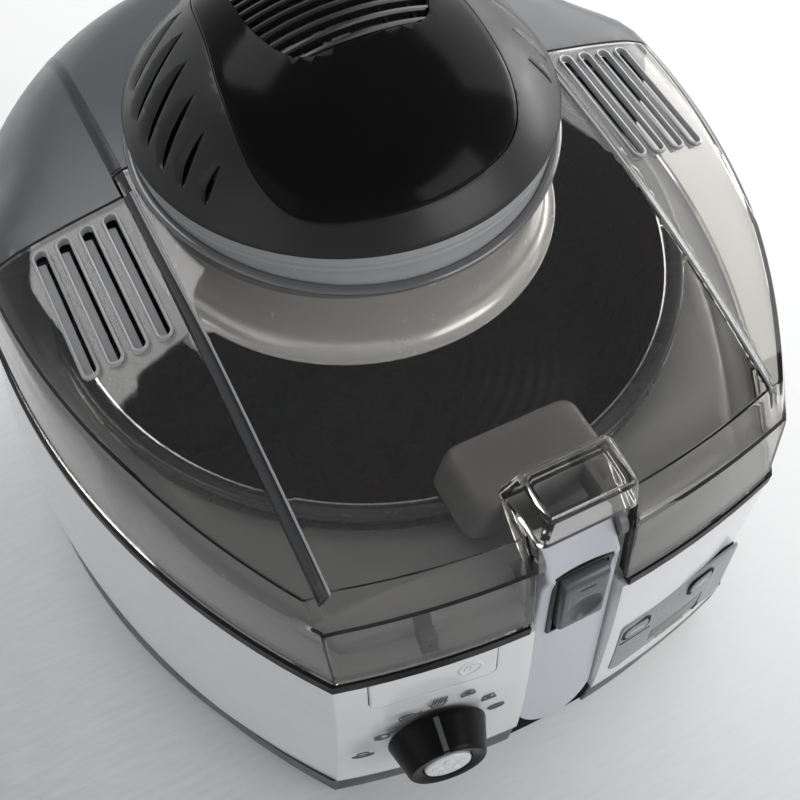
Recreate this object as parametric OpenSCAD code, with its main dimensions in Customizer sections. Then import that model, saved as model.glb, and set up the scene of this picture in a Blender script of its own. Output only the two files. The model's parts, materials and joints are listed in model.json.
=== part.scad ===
// Multicooker deep fryer: oval base, lift-out pan, smoked lid with a fan heater dome.
// Millimetres, Z up, origin on the floor under the middle of the whole appliance.

/* [Body outline] */
// Half of the body width at the seal line
half_w = 162; // [156:1:168]
// Distance from the mouth of the pan to the front face at the seal line
front_gap = 53; // [49:1:57]
// Radius of the long side curves
side_r = 328; // [310:1:350]
// Radius of the front face curve
front_r = 370; // [340:5:420]
// Distance of the widest line behind the origin
oval_y = 27; // [24:1:30]
// Wall of the white base shell
shell_wall = 3; // [2.4:0.1:3.6]
// Bulge of the sides below the seal line
side_bulge = 8; // [5:0.5:9]
// Bulge of the front below the seal line
front_bulge = 4.8; // [3:0.2:6]

/* [Heights] */
// Lower edge of the white base shell
shell_low = 28; // [25:1:31]
// Seal line, the top edge of the white base shell
seal_z = 128; // [126:0.5:130]
// Height of the seal band
seal_h = 6; // [5:0.5:7]
// Height of the deck around the pan above the seal line
deck_rise = 17; // [15:0.5:19]
// Crown of the lid above the seal line
crown_rise = 82; // [80:1:86]
// Thickness of the feet
foot_h = 3; // [2:0.5:5]

/* [Pan] */
// Inner radius of the pan at its mouth
pan_r = 130; // [127:0.5:132]
// Distance of the pan axis in front of or behind the origin
pan_y = 2; // [-1:0.5:4]
// Inner depth of the pan
pan_depth = 80; // [74:1:82]
// Wall of the pan
pan_wall = 2; // [1.6:0.1:2.4]
// Inner radius of the tube at the middle of the pan
tube_r = 8; // [7:0.5:9]
// Wall of the paddle blade
blade_t = 5; // [4:0.5:7]
// Travel of the pan up to the closed lid
pan_lift = 8; // [4:1:9]

/* [Lid] */
// Thickness of the lid moulding
lid_wall = 2.6; // [2:0.1:3.2]
// Side view radius of the lid crown
crown_r = 660; // [620:10:700]
// Distance of the creases from the centre plane
crease_x = 93; // [91:0.5:97]
// Step at each crease
crease_step = 3.5; // [2:0.25:5]
// Distance of the wing seam behind the origin
seam_y = 23; // [18:1:28]
// How far the middle of the seam lies behind the wings
seam_jog = 11; // [8:1:14]
// Number of louvre slots in each wing
wing_slots = 4; // [3:1:5]
// Width of a wing slot
slot_w = 5.6; // [4:0.2:6.5]
// Length of a wing slot
slot_len = 62; // [50:1:66]

/* [Dome and drum] */
// Distance of the dome axis behind the origin
dome_y = 21.6; // [20:0.2:23]
// Radius of the dome sphere
dome_r = 105; // [103:0.5:108]
// Rim radius of the dome
rim_r = 87.3; // [86.6:0.1:88]
// Wall of the dome
dome_wall = 2.5; // [2:0.1:3]
// Outer radius of the drum
drum_r = 84; // [82:0.5:85]
// Radius of the rolled foot of the drum
drum_foot_r = 91.7; // [89:0.1:94]
// Wall of the drum
drum_wall = 1.2; // [0.8:0.1:1.6]
// Height of the drum foot above the seal line
drum_low = 34; // [33:0.5:36]
// Radius of the air impeller
fan_r = 62; // [50:1:70]
// Number of impeller blades
fan_blades = 10; // [6:1:14]

/* [Pan handle] */
// Half width of the handle at its top
handle_top_hw = 15.6; // [14:0.1:16]
// Half width of the handle at its foot
handle_foot_hw = 18.4; // [17:0.1:18.8]
// Radius of the handle boss round its pin
boss_r = 8.5; // [8:0.1:9]
// Radius of the handle pin
pin_r = 2; // [1.5:0.1:2.5]
// Height of the handle pin above the seal line
pivot_rise = 37; // [35:0.5:38]
// Distance of the handle pin behind the front face
pivot_in = 14; // [13:0.5:15]
// Half width of the recess for the handle
recess_hw = 19.6; // [19.2:0.1:21]
// Travel of the handle slider
slider_travel = 5; // [3:0.5:6]

/* [Controls] */
// Knob distance to the left of the centre plane
knob_x = 59.7; // [57:0.5:62]
// Knob height above the floor
knob_z = 69.2; // [66:0.5:71]
// Knob radius at the panel
knob_r = 21; // [19:0.5:23]
// Knob radius at its face
knob_face_r = 16.2; // [14:0.2:18]
// Depth of the knob
knob_h = 16.6; // [14:0.2:20]
// Radius of the knob shaft
knob_shaft_r = 3; // [2.5:0.1:3.5]
// Lean of the control panel from upright
panel_lean = 3; // [2:0.5:4]
// Width of the lid release button
release_w = 51; // [46:1:54]
// Height of the lid release button
release_h = 22; // [19:1:23]
// Travel of the lid release button
release_travel = 2; // [1:0.25:2.5]
// Width of the display panel
display_w = 68; // [62:1:72]
// Height of the display panel
display_h = 46; // [42:1:50]
// Travel of a timer button
timer_travel = 1.2; // [0.8:0.1:1.6]

/* [Hinge] */
// Distance of the hinge axis behind the origin
hinge_y = 183; // [182:0.5:184]
// Height of the hinge axis above the seal line
hinge_rise = 17; // [16:0.5:18]
// Radius of the hinge pin
hinge_pin_r = 2.5; // [2:0.1:3]
// Radius of the hinge barrel
barrel_r = 7; // [6:0.25:7.5]
// Half length of the lid's hinge barrel
barrel_hw = 27.7; // [22:0.1:32]
// Width of each hinge ear
ear_w = 10; // [8:0.5:12]

/* [Clearances] */
// Running clearance of pins and shafts in their bores
run_gap = 0.05; // [0.03:0.01:0.08]
// Gap between pieces that move past or rest near each other
gap = 0.3; // [0.2:0.05:0.4]
// Gap round buttons
button_gap = 0.5; // [0.4:0.05:0.7]

/* [Hidden] */
$fn = 96;
far = 500;
fn_outline = 200;

// Heights
seal_top = seal_z + seal_h;
front_reach = pan_r - pan_y + front_gap;
deck_z = seal_z + deck_rise;
crown_z = seal_z + crown_rise;
lid_low = seal_top + gap;
rim_z = deck_z + 5;
pan_floor = rim_z - pan_depth;
hinge_z = seal_z + hinge_rise;
pivot_z = seal_z + pivot_rise;
pivot_y = -front_reach + pivot_in;
drum_z = seal_z + drum_low;
crown_y = oval_y + 2;
dome_rim_z = crown_z + 12;
dome_z = dome_rim_z - sqrt(dome_r * dome_r - rim_r * rim_r);
pan_floor_t = pan_wall;
liner_r = pan_r + pan_wall + 2;
floor_t = 3;
pan_top = foot_h + floor_t;

// Insets of the outline from the seal line outline: [height, inset]
body_side = [[shell_low, -side_bulge * 0.82], [shell_low + 12, -side_bulge * 0.97],
    [shell_low + 27, -side_bulge], [seal_z - 53, -side_bulge * 0.88],
    [seal_z - 33, -side_bulge * 0.65], [seal_z - 16, -side_bulge * 0.35], [seal_z, 0]];
body_front = [[shell_low, -front_bulge * 0.94], [shell_low + 12, -front_bulge],
    [shell_low + 27, -front_bulge * 0.96], [seal_z - 53, -front_bulge * 0.8],
    [seal_z - 33, -front_bulge * 0.6], [seal_z - 16, -front_bulge * 0.3], [seal_z, 0]];
lid_side = [[lid_low, 1], [lid_low + 32, 3], [crown_z - 34, 5.5], [crown_z - 27, 9],
    [crown_z - 22, 13], [crown_z - 17, 19], [crown_z - 12, 28], [crown_z - 7, 45],
    [crown_z + 2, 95]];
lid_front = [[lid_low, 0.5], [crown_z - 40, 5], [crown_z - 33, 7], [crown_z - 29, 10],
    [crown_z - 26, 16], [crown_z - 24, 26], [crown_z - 20, 60], [crown_z + 2, 95]];
deck_edge = [[seal_z - 8, 0], [seal_z + 3, 0], [seal_z + 3.01, 11], [deck_z - 8, 13],
    [deck_z - 2.5, 16], [deck_z, 20]];

function shift_rows(rows, up, inward) = [for (r = rows) [r[0] + up, r[1] + inward]];
function open_rows(rows, over) = concat([[rows[0][0] - over, rows[0][1]]], rows,
    [[rows[len(rows) - 1][0] + over, rows[len(rows) - 1][1]]]);
function flat_rows(low, high, inset) = [[low, inset], [high, inset]];

// Solid of revolution whose wall lies at radius r less each row's inset
module turned(r, rows) {
    last = len(rows) - 1;
    rotate_extrude($fn = fn_outline)
        polygon(concat([[0, rows[0][0]]], [for (row = rows) [r - row[1], row[0]]],
            [[0, rows[last][0]]]));
}

// Body outline: half round behind, long side curves and a curved front with sharp corners
module oval(side, front) {
    low = side[0][0] - 1;
    tall = side[len(side) - 1][0] - low + 1;
    intersection() {
        translate([-far, oval_y, low]) cube([2 * far, far, tall]);
        translate([0, oval_y, 0]) turned(half_w, side);
    }
    intersection() {
        translate([-far, oval_y - far, low]) cube([2 * far, far, tall]);
        translate([half_w - side_r, oval_y, 0]) turned(side_r, side);
        translate([side_r - half_w, oval_y, 0]) turned(side_r, side);
        translate([0, front_r - front_reach, 0]) turned(front_r, front);
    }
}

module oval_ring(low, high, outer, inner) {
    difference() {
        oval(flat_rows(low, high, outer), flat_rows(low, high, outer));
        oval(flat_rows(low - 1, high + 1, inner), flat_rows(low - 1, high + 1, inner));
    }
}

// Ring or tube round the vertical axis
module ring(low, high, outer, inner) {
    difference() {
        translate([0, 0, low]) cylinder(r = outer, h = high - low);
        translate([0, 0, low - 1]) cylinder(r = inner, h = high - low + 2);
    }
}

// Frame on the front face: local X along it, local Y up, local Z out of it
module on_front(x, z, lean = panel_lean) {
    r = front_r - lookup(z, body_front);
    a = asin(x / r);
    translate([x, front_r - front_reach - r * cos(a), z]) rotate([0, 0, a])
        rotate([90 - lean, 0, 0]) children();
}

// Frame on the front face of the handle: local Z up along it, local -Y out of it
face_top_z = seal_z + 32;
face_top_y = -front_reach + 5;
face_foot_z = shell_low + 8;
face_foot_y = -front_reach - 3.5;
handle_lean = atan((face_top_y - face_foot_y) / (face_top_z - face_foot_z));
module on_handle() {
    translate([0, face_top_y, face_top_z]) rotate([-handle_lean, 0, 0]) children();
}

module rounded_plate(w, h, t, r) {
    linear_extrude(t) {
        translate([-w / 2 + r, -h / 2]) square([w - 2 * r, h]);
        translate([-w / 2, -h / 2 + r]) square([w, h - 2 * r]);
        for (sx = [-1, 1], sy = [-1, 1])
            translate([sx * (w / 2 - r), sy * (h / 2 - r)]) circle(r, $fn = 48);
    }
}

// Screw with a round head, tip up
module screw(head_r, head_h, r, len) {
    cylinder(r = head_r, h = head_h, $fn = 32);
    cylinder(r = r, h = head_h + len, $fn = 32);
}

// ---- Base ----

// Screw posts round the well: [angle from straight ahead, distance outside the liner]
post_ring = [[-32.9, 28], [32.9, 28], [-135.8, 18], [135.8, 18]];
post_spots = [for (p = post_ring) [(liner_r + p[1]) * sin(p[0]), pan_y - (liner_r + p[1]) * cos(p[0])]];
post_r = 6;
recess_back = pivot_y + boss_r + 1;
recess_wall = 2.5;
deck_lip = shell_wall + gap;
ledge_z = seal_z - 8;
release_x = -(knob_x + 0.3);
release_z = seal_z - release_h / 2 - 0.8;
display_x = 60;
display_z = 63;
timer_left_x = display_x - display_w / 2 + 9;
timer_right_x = display_x + 12;
timer_z = display_z + display_h / 2 - 9;
timer_w = 13;
timer_h = 9;
// Back of the display's circuit board, below its face, and the bosses that carry it
board_top = -12.4;
board_bosses = [[-25, -12.5], [25, -12.5], [-7, 12.5], [25, 12.5]];
inlet_turn = 35;
inlet_z = 44;
inlet_r = 6;

module recess(grow) {
    translate([-recess_hw - grow, -far, shell_low - 5])
        cube([2 * (recess_hw + grow), far + recess_back + grow, deck_z + 10 - shell_low]);
}

module base_shell() color("white")
    difference() {
        union() {
            difference() {
                oval(body_side, body_front);
                oval(open_rows(shift_rows(body_side, 0, shell_wall), 1),
                    open_rows(shift_rows(body_front, 0, shell_wall), 1));
            }
            intersection() {
                oval(body_side, body_front);
                recess(recess_wall);
            }
            oval_ring(ledge_z - 4, ledge_z, shell_wall - 0.5, shell_wall + 7);
            for (b = board_bosses) on_front(display_x, display_z) translate([b[0], b[1], board_top])
                cylinder(r = 2.4, h = -board_top - 2.4, $fn = 32);
        }
        recess(0);
        on_front(-knob_x, knob_z) translate([0, 0, -12]) cylinder(r = knob_shaft_r + 0.8, h = 24);
        release_opening(0);
        difference() {
            on_front(display_x, display_z) translate([0, 0, -10])
                rounded_plate(display_w + 2 * gap, display_h + 2 * gap, 20, 6);
            front_body(0.9);
        }
        for (x = [timer_left_x, timer_right_x]) on_front(x, timer_z) {
            translate([0, 0, -15]) cylinder(r = 2.5, h = 30);
            translate([0, 0, -2]) rounded_plate(timer_w + 2 * button_gap, timer_h + 2 * button_gap, 6, 3.5);
        }
        on_front(display_x + 2, display_z - 8) translate([0, 0, -12]) rounded_plate(34, 15, 30, 2);
        inlet_frame() translate([0, 0, -20]) cylinder(r = inlet_r, h = 40);
        for (s = post_spots) translate([s[0], s[1], ledge_z - 5]) cylinder(r = post_r + gap, h = 6);
    }

module front_body(inset) {
    translate([0, front_r - front_reach, 0]) turned(front_r, shift_rows(body_front, 0, inset));
}

module front_plate(out, depth) {
    intersection() {
        difference() {
            front_body(-out);
            front_body(depth);
        }
        children();
    }
}

module release_opening(shrink) {
    on_front(release_x, release_z, 0)
        translate([-release_w / 2 + shrink, -release_h / 2 + shrink, -14])
            cube([release_w - 2 * shrink, release_h + 4 - 2 * shrink, 24]);
}

module bottom_pan() color("#3b3d40")
    difference() {
        union() {
            difference() {
                oval([[foot_h, -2], [foot_h + 7, -4], [shell_low - gap, -5.2]],
                    [[foot_h, 0], [foot_h + 7, -2], [shell_low - gap, -3]]);
                oval(flat_rows(pan_top, shell_low + 1, 0), flat_rows(pan_top, shell_low + 1, 2));
            }
            intersection() {
                oval(flat_rows(pan_top - 1, shell_low - gap, -3), flat_rows(pan_top - 1, shell_low - gap, -1));
                recess(recess_wall + 2);
            }
            for (s = post_spots) translate([s[0], s[1], pan_top - 1])
                cylinder(r = post_r, h = seal_z + 6 - pan_top + 1);
        }
        translate([-recess_hw, -far, pan_top]) cube([2 * recess_hw, far + recess_back, far]);
        for (s = post_spots) {
            translate([s[0], s[1], foot_h - 1]) cylinder(r = 4, h = seal_z - foot_h);
            translate([s[0], s[1], foot_h]) cylinder(r = 1.8, h = far);
        }
        for (s = foot_spots) translate([s[0], s[1], 0]) cylinder(r = 4.2, h = pan_top + 1);
        for (i = [-5:5]) translate([i * 9 - 1.5, 60, 0]) cube([3, 50, pan_top + 1]);
    }

foot_spots = [[-78, -118], [78, -118], [-96, 118], [96, 118]];
module rubber_feet() color("#222222")
    for (s = foot_spots) translate([s[0], s[1], 0]) {
        cylinder(r = 11, h = foot_h);
        cylinder(r = 4, h = pan_top + 1.5);
    }

module seal_band() color("#101010")
    difference() {
        oval_ring(seal_z, seal_top, -0.5, shell_wall);
        translate([-recess_hw - recess_wall, -far, seal_z - 1])
            cube([2 * (recess_hw + recess_wall), far - 100, seal_h + 2]);
        translate([-barrel_hw - ear_w - 4, hinge_y - 16, seal_z - 1])
            cube([2 * (barrel_hw + ear_w + 4), 100, seal_h + 2]);
    }

// The deck carries the pan well and the two hinge ears
module deck() color("#55585c")
    difference() {
        union() {
            difference() {
                oval(shift_rows(deck_edge, 0, deck_lip), shift_rows(deck_edge, 0, deck_lip));
                oval(open_rows(shift_rows(deck_edge, -2.5, deck_lip + 2.5), 0),
                    open_rows(shift_rows(deck_edge, -2.5, deck_lip + 2.5), 0));
            }
            intersection() {
                oval(shift_rows(deck_edge, 0, deck_lip), shift_rows(deck_edge, 0, deck_lip));
                recess(recess_wall);
            }
            for (s = post_spots) translate([s[0], s[1], seal_z + 6 + gap / 2])
                cylinder(r = 4.5, h = deck_z - seal_z - 7);
            translate([0, pan_y, 0]) ring(deck_z - 12, deck_z, liner_r + 4, liner_r + 1.5);
            for (sx = [-1, 1]) hinge_ear(sx);
        }
        translate([0, pan_y, deck_z - 20]) cylinder(r = liner_r + 1.5, h = 40);
        recess(0);
        intersection() {
            recess(recess_wall + gap);
            translate([-far, -far, 0]) cube([2 * far, 2 * far, seal_z + gap]);
        }
        for (s = post_spots) translate([s[0], s[1], seal_z]) cylinder(r = 1.8, h = 13);
        translate([0, hinge_y, hinge_z]) rotate([0, 90, 0])
            cylinder(r = hinge_pin_r + 0.02, h = 2 * far, center = true);
        latch_slot();
        // room behind the release button for its travel
        intersection() {
            translate([release_x - release_w / 2 - 1, -far, release_z - release_h / 2 - 1])
                cube([release_w + 2, far - front_reach + 20, far]);
            translate([-far, -far, 0]) cube([2 * far, 2 * far, seal_z + gap]);
        }
    }

module hinge_ear(side) {
    low = side > 0 ? barrel_hw + gap : -barrel_hw - gap - ear_w;
    translate([low, 0, 0]) {
        translate([0, hinge_y, hinge_z]) rotate([0, 90, 0]) cylinder(r = barrel_r, h = ear_w);
        rotate([90, 0, 90]) linear_extrude(ear_w)
            polygon([[hinge_y - 11, seal_z + 1], [hinge_y - 3, seal_z + 1],
                [hinge_y - 1, seal_top + 1], [hinge_y + barrel_r, hinge_z - 4],
                [hinge_y + barrel_r, hinge_z], [hinge_y - barrel_r, hinge_z]]);
    }
}

module hinge_pin() color("silver")
    translate([0, hinge_y, hinge_z]) rotate([0, 90, 0])
        cylinder(r = hinge_pin_r, h = 2 * (barrel_hw + gap + ear_w), center = true);

// Bowl-shaped heat shield round the pan
liner_low = pan_floor - 18;
module well_liner() color("#9a9da0")
    translate([0, pan_y, 0]) rotate_extrude()
        polygon([[14, liner_low], [pan_r - 22, liner_low], [pan_r - 10, liner_low + 6],
            [liner_r + 0.8, liner_low + 24], [liner_r + 0.8, deck_z + 0.2],
            [liner_r + 5, deck_z + 0.2], [liner_r + 5, deck_z + 1.2], [liner_r, deck_z + 1.2],
            [liner_r, liner_low + 25], [pan_r - 10.5, liner_low + 7], [pan_r - 22.3, liner_low + 1],
            [14, liner_low + 1]]);

heater_ring_r = 72;
heater_tube_r = 3.3;
heater_z = liner_low + 8;
module lower_heater() color("#6d6a66")
    translate([0, pan_y, heater_z]) rotate_extrude()
        translate([heater_ring_r, 0]) circle(heater_tube_r, $fn = 32);

module heater_clips() color("silver")
    for (a = [30, 150, 270]) translate([0, pan_y, 0]) rotate([0, 0, a])
        translate([heater_ring_r - 5, -5, liner_low + 1])
            cube([10, 10, heater_z - heater_tube_r - liner_low - 1 - 0.1]);

gear_top = liner_low - 1;
shaft_r = 4;
module gearmotor() color("#4a4c4f")
    translate([0, pan_y, 0]) difference() {
        union() {
            translate([0, 0, gear_top - 18]) cylinder(r = 40, h = 18);
            translate([18, 0, pan_top]) cylinder(r = 21, h = gear_top - 18 - pan_top + 1);
            for (a = [60, 180, 300]) rotate([0, 0, a]) translate([33, 0, pan_top])
                cylinder(r = 4, h = gear_top - 18 - pan_top + 1, $fn = 32);
        }
        translate([0, 0, gear_top - 15]) cylinder(r = shaft_r + run_gap, h = 30);
    }

module deck_screws() color("silver")
    for (s = post_spots) translate([s[0], s[1], seal_z - 4 - 2.5]) screw(3.5, 2.5, 1.7, 17);

module selector_switch() color("#2c2e30")
    on_front(-knob_x, knob_z) difference() {
        union() {
            translate([-17, -17, -27]) cube([34, 34, 22]);
            translate([0, 0, -6]) cylinder(r = 7, h = 6 - shell_wall - 0.15);
        }
        translate([0, 0, -24]) cylinder(r = knob_shaft_r + run_gap, h = 40);
    }

module power_board() color("#2f6b3a") {
    board_z = pan_top + 8;
    translate([-28, 64, board_z]) rotate([0, 0, 90]) {
        cube([60, 56, 1.6]);
        translate([6, 8, 1.6]) cube([18, 22, 16]);
        translate([34, 10, 1.6]) cube([12, 16, 12]);
        for (x = [4, 56], y = [4, 52]) translate([x, y, pan_top - board_z]) cylinder(r = 3, h = 8);
    }
}

module inlet_frame() translate([0, oval_y, inlet_z]) rotate([0, 0, -inlet_turn])
    translate([0, half_w + side_bulge, 0]) rotate([-90, 0, 0]) children();

module cord_inlet() color("#1b1b1b")
    inlet_frame() difference() {
        union() {
            translate([0, 0, -8.5]) cylinder(r = inlet_r - 0.2, h = 12.5);
            translate([0, 0, -8.5]) cylinder(r = inlet_r + 3, h = 4);
            translate([0, 0, 0.6]) cylinder(r = inlet_r + 2, h = 1.6);
        }
        translate([0, 0, -10]) cylinder(r = 3.6, h = 20);
    }

// ---- Lid release ----

latch_x = release_x;
latch_pivot_z = seal_z - 33;
latch_depth = 14;
latch_arm = 22;
latch_t = 5;
latch_r = 2;
module latch_slot() on_front(latch_x, seal_z, 0)
    translate([-latch_t / 2 - 1, -14, -19]) cube([latch_t + 2, 60, 12.5]);

module latch_frame() on_front(latch_x, latch_pivot_z, 0) translate([0, 0, -latch_depth])
    rotate([0, -90, 0]) children();

module latch_lever() color("#2c2e30")
    latch_frame() difference() {
        translate([0, 0, -latch_t / 2]) {
            cylinder(r = 4.5, h = latch_t, $fn = 48);
            linear_extrude(latch_t) polygon([[3, 0], [-3, 0], [-2.5, 30], [-1.5, 45], [3.5, 45],
                [3.5, 41], [1.5, 39], [2.5, 30]]);
        }
        translate([0, 0, -latch_t]) cylinder(r = latch_r + run_gap, h = 2 * latch_t, $fn = 48);
    }

module latch_pin() color("silver")
    latch_frame() {
        translate([0, 0, -latch_t - 3]) cylinder(r = latch_r, h = 2 * latch_t + 6, $fn = 48);
        for (sz = [-1, 1]) translate([-4, -5, sz * (latch_t + 1.5) - 1.5])
            cube([latch_depth - shell_wall + 4 - 0.4, 10, 3]);
    }

module release_button() color("white") {
    intersection() {
        difference() {
            oval(body_side, body_front);
            oval(shift_rows(body_side, 0, shell_wall), open_rows(shift_rows(body_front, 0, shell_wall), 1));
        }
        release_opening(button_gap);
        translate([-far, -far, 0]) cube([2 * far, 2 * far, seal_z - 0.4]);
    }
    on_front(release_x, latch_pivot_z + latch_arm, 0) translate([0, 0, -9]) cylinder(r = 3, h = 7);
    on_front(release_x + 13, release_z, 0) difference() {
        translate([0, 0, -1]) cylinder(r = 5, h = 1.6);
        translate([0, 0, -2]) cylinder(r = 4, h = 4);
    }
}

// ---- Knob ----

module knob_shaft() color("silver")
    on_front(-knob_x, knob_z) translate([0, 0, -23]) cylinder(r = knob_shaft_r, h = 23 + knob_h - 5);

module knob() color("#141414")
    on_front(-knob_x, knob_z) difference() {
        translate([0, 0, 0.8]) cylinder(r1 = knob_r, r2 = knob_face_r, h = knob_h - 0.8);
        translate([0, 0, knob_h - 1.5]) cylinder(r = knob_face_r * 0.62 + gap, h = 3);
        translate([0, 0, -1]) cylinder(r = knob_shaft_r + 0.02, h = knob_h - 4 + 0.2);
        translate([0, 0, -1]) difference() {
            cylinder(r = knob_face_r - 2, h = knob_h - 5);
            cylinder(r = knob_shaft_r + 3, h = knob_h);
        }
    }

module knob_cap() color("#e8e8e6")
    on_front(-knob_x, knob_z) translate([0, 0, knob_h - 1.5]) {
        cylinder(r = knob_face_r * 0.62, h = 1.5);
        for (i = [-2:2]) translate([-6, i * 3 - 0.5, 1]) cube([12, 1, 1.1]);
    }

// ---- Display ----

module display_panel() color("#8c9094")
    difference() {
        front_plate(0.5, 0.6) on_front(display_x, display_z) translate([0, 0, -10])
            rounded_plate(display_w, display_h, 20, 6);
        on_front(display_x, display_z) translate([2, -8, -10]) rounded_plate(31 + 2 * gap, 12 + 2 * gap, 20, 1.5);
        for (x = [timer_left_x, timer_right_x]) on_front(x, timer_z) translate([0, 0, -6])
            rounded_plate(timer_w + 2 * button_gap, timer_h + 2 * button_gap, 12, 3.5);
    }

module display_lens() color("#2a3230")
    front_plate(0.3, 1.2) on_front(display_x, display_z) translate([2, -8, -10])
        rounded_plate(31, 12, 20, 1.5);

module control_board() color("#2f6b3a")
    on_front(display_x, display_z) translate([-28, -16, board_top - 1.6]) cube([56, 32, 1.6]);

module timer_button(x) {
    color("#d8d9db") on_front(x, timer_z) {
        translate([0, 0, -0.4]) rounded_plate(timer_w, timer_h, 2, 3);
        translate([0, 0, timer_travel - 11.3]) cylinder(r = 2, h = 11.2 - timer_travel);
    }
}
module timer_button_left() timer_button(timer_left_x);
module timer_button_right() timer_button(timer_right_x);

// ---- Lid ----

// Crown of the lid, a body turned about a cross axis: [distance from centre, drop]
crown_steps = [[0, 0], [crease_x - 2, 0], [crease_x + 2, crease_step], [143, crease_step + 10],
    [152, crease_step + 15], [162, crease_step + 24], [185, crease_step + 50]];
module crown(drop) {
    right = [for (s = crown_steps) [crown_r - drop - s[1], s[0]]];
    left = [for (i = [len(crown_steps) - 1:-1:1]) [crown_r - drop - crown_steps[i][1], -crown_steps[i][0]]];
    translate([0, crown_y, crown_z - crown_r]) rotate([0, 90, 0])
        rotate_extrude($fn = 360) polygon(concat([[0, -185]], left, right, [[0, 185]]));
}

module lid_body(t) {
    intersection() {
        oval(t > 0 ? open_rows(shift_rows(lid_side, 0, t), 1) : lid_side,
            t > 0 ? open_rows(shift_rows(lid_front, 0, t), 1) : lid_front);
        crown(t);
    }
}

notch_hw = recess_hw + 0.8;
notch_top = crown_z - 24;
module hood(t) {
    back = -front_reach + 33;
    front = -front_reach + 5;
    hull() {
        translate([-24 + t, front + t, notch_top - 6]) cube([48 - 2 * t, back - front + 4 - 2 * t, 3]);
        translate([-18 + t, front + 3 + t, notch_top + 9 - t])
            cube([36 - 2 * t, back - front - 6 - 2 * t, 3]);
    }
}

module lid_moulding() {
    difference() {
        union() {
            lid_body(0);
            hood(0);
        }
        lid_body(lid_wall);
        hood(lid_wall);
        translate([-notch_hw, -far, lid_low - 1]) cube([2 * notch_hw, far - 120, notch_top - lid_low + 1]);
        translate([0, dome_y, lid_low]) cylinder(r = collar_r + 0.5, h = far);
    }
}

module lid_front_zone(back_off) {
    translate([-far, -far, 0]) cube([2 * far, far + seam_y - back_off, far]);
    translate([-crease_x - 1, -1, 0]) cube([2 * crease_x + 2, seam_y + seam_jog - back_off + 1, far]);
}

slot_pitch = 9.8;
module lid_shell() color([0.35, 0.35, 0.34, 0.5])
    difference() {
        union() {
            intersection() {
                lid_moulding();
                lid_front_zone(gap);
            }
            intersection() {
                lid_body(0);
                on_front(latch_x, seal_z, 0) translate([-4, 6.5, -7]) cube([8, 5, 7]);
            }
        }
        for (sx = [-1, 1], i = [0:wing_slots - 1])
            translate([sx * (crease_x + 10 + i * slot_pitch), seam_y - 6 - slot_len / 2, lid_low])
                linear_extrude(far) {
                    square([slot_w, slot_len - slot_w], center = true);
                    for (sy = [-1, 1]) translate([0, sy * (slot_len - slot_w) / 2])
                        circle(slot_w / 2, $fn = 32);
                }
    }

module lid_front_body(inset) {
    translate([0, front_r - front_reach, 0]) turned(front_r, shift_rows(lid_front, 0, inset));
}

module notch_trim() color("#101010")
    intersection() {
        difference() {
            lid_front_body(lid_wall + 0.1);
            lid_front_body(lid_wall + 3);
        }
        for (sx = [-1, 1]) translate([sx * (notch_hw + 1.1) - 0.8, -far, lid_low])
            cube([1.6, far - 120, notch_top - 14 - lid_low]);
    }

module rear_housing() color("#7d8084") {
    difference() {
        union() {
            difference() {
                lid_moulding();
                lid_front_zone(0);
            }
            translate([0, hinge_y, hinge_z]) rotate([0, 90, 0])
                cylinder(r = barrel_r, h = 2 * barrel_hw, center = true);
            translate([-barrel_hw, hinge_y - barrel_r, hinge_z])
                cube([2 * barrel_hw, barrel_r + 3, barrel_r + 7]);
        }
        for (sx = [-1, 1]) translate([sx > 0 ? barrel_hw : -barrel_hw - ear_w - 9, hinge_y - 18, lid_low - 1])
            cube([ear_w + 9, 60, hinge_z + barrel_r + 2 - lid_low]);
        translate([-barrel_hw - 1, hinge_y + barrel_r, lid_low - 1]) cube([2 * barrel_hw + 2, 60, hinge_z - lid_low + 1]);
        translate([-barrel_hw - 1, hinge_y - 60, lid_low - 1]) cube([2 * barrel_hw + 2, 60 - barrel_r, 16]);
        translate([0, hinge_y, hinge_z]) rotate([0, 90, 0])
            cylinder(r = hinge_pin_r + run_gap, h = 4 * barrel_hw, center = true);
    }
}

liner_plate_z = crown_z - 40;
module lid_liner() color("#4c4f52")
    difference() {
        oval(flat_rows(liner_plate_z, liner_plate_z + 2.5, 5.2 + lid_wall + gap),
            flat_rows(liner_plate_z, liner_plate_z + 2.5, 12));
        translate([-far, -far, 0]) cube([2 * far, far + seam_y + seam_jog + 2, far]);
        translate([-notch_hw - 4, -far, 0]) cube([2 * notch_hw + 8, far - 120, far]);
        translate([0, dome_y, 0]) cylinder(r = drum_foot_r + 1.5, h = far);
    }

// ---- Dome, drum and fan ----

collar_r = drum_r + 1.4;
collar_low = crown_z - 14;
module lid_collar() color([0.6, 0.6, 0.6, 0.7])
    translate([0, dome_y, 0]) rotate_extrude()
        polygon([[drum_r - drum_wall, collar_low], [collar_r, collar_low], [collar_r, crown_z + 0.5],
            [rim_r, dome_rim_z - gap], [rim_r - 3, dome_rim_z - gap], [drum_r - drum_wall, crown_z]]);

module vents() {
    intersection() {
        circle(82.4);
        polygon([[-64, -50], [-64, -18], [-61, -3], [-57, 13], [-51, 32], [-43, 58], [-38, 90], [-100, 90], [-100, -50]]);
        rotate(29) for (i = [0:6]) translate([-100, 0.4 + i * 12]) square([120, 4.8]);
    }
}

module dome_ball(r) translate([0, dome_y, dome_z]) sphere(r, $fn = 180);

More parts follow.
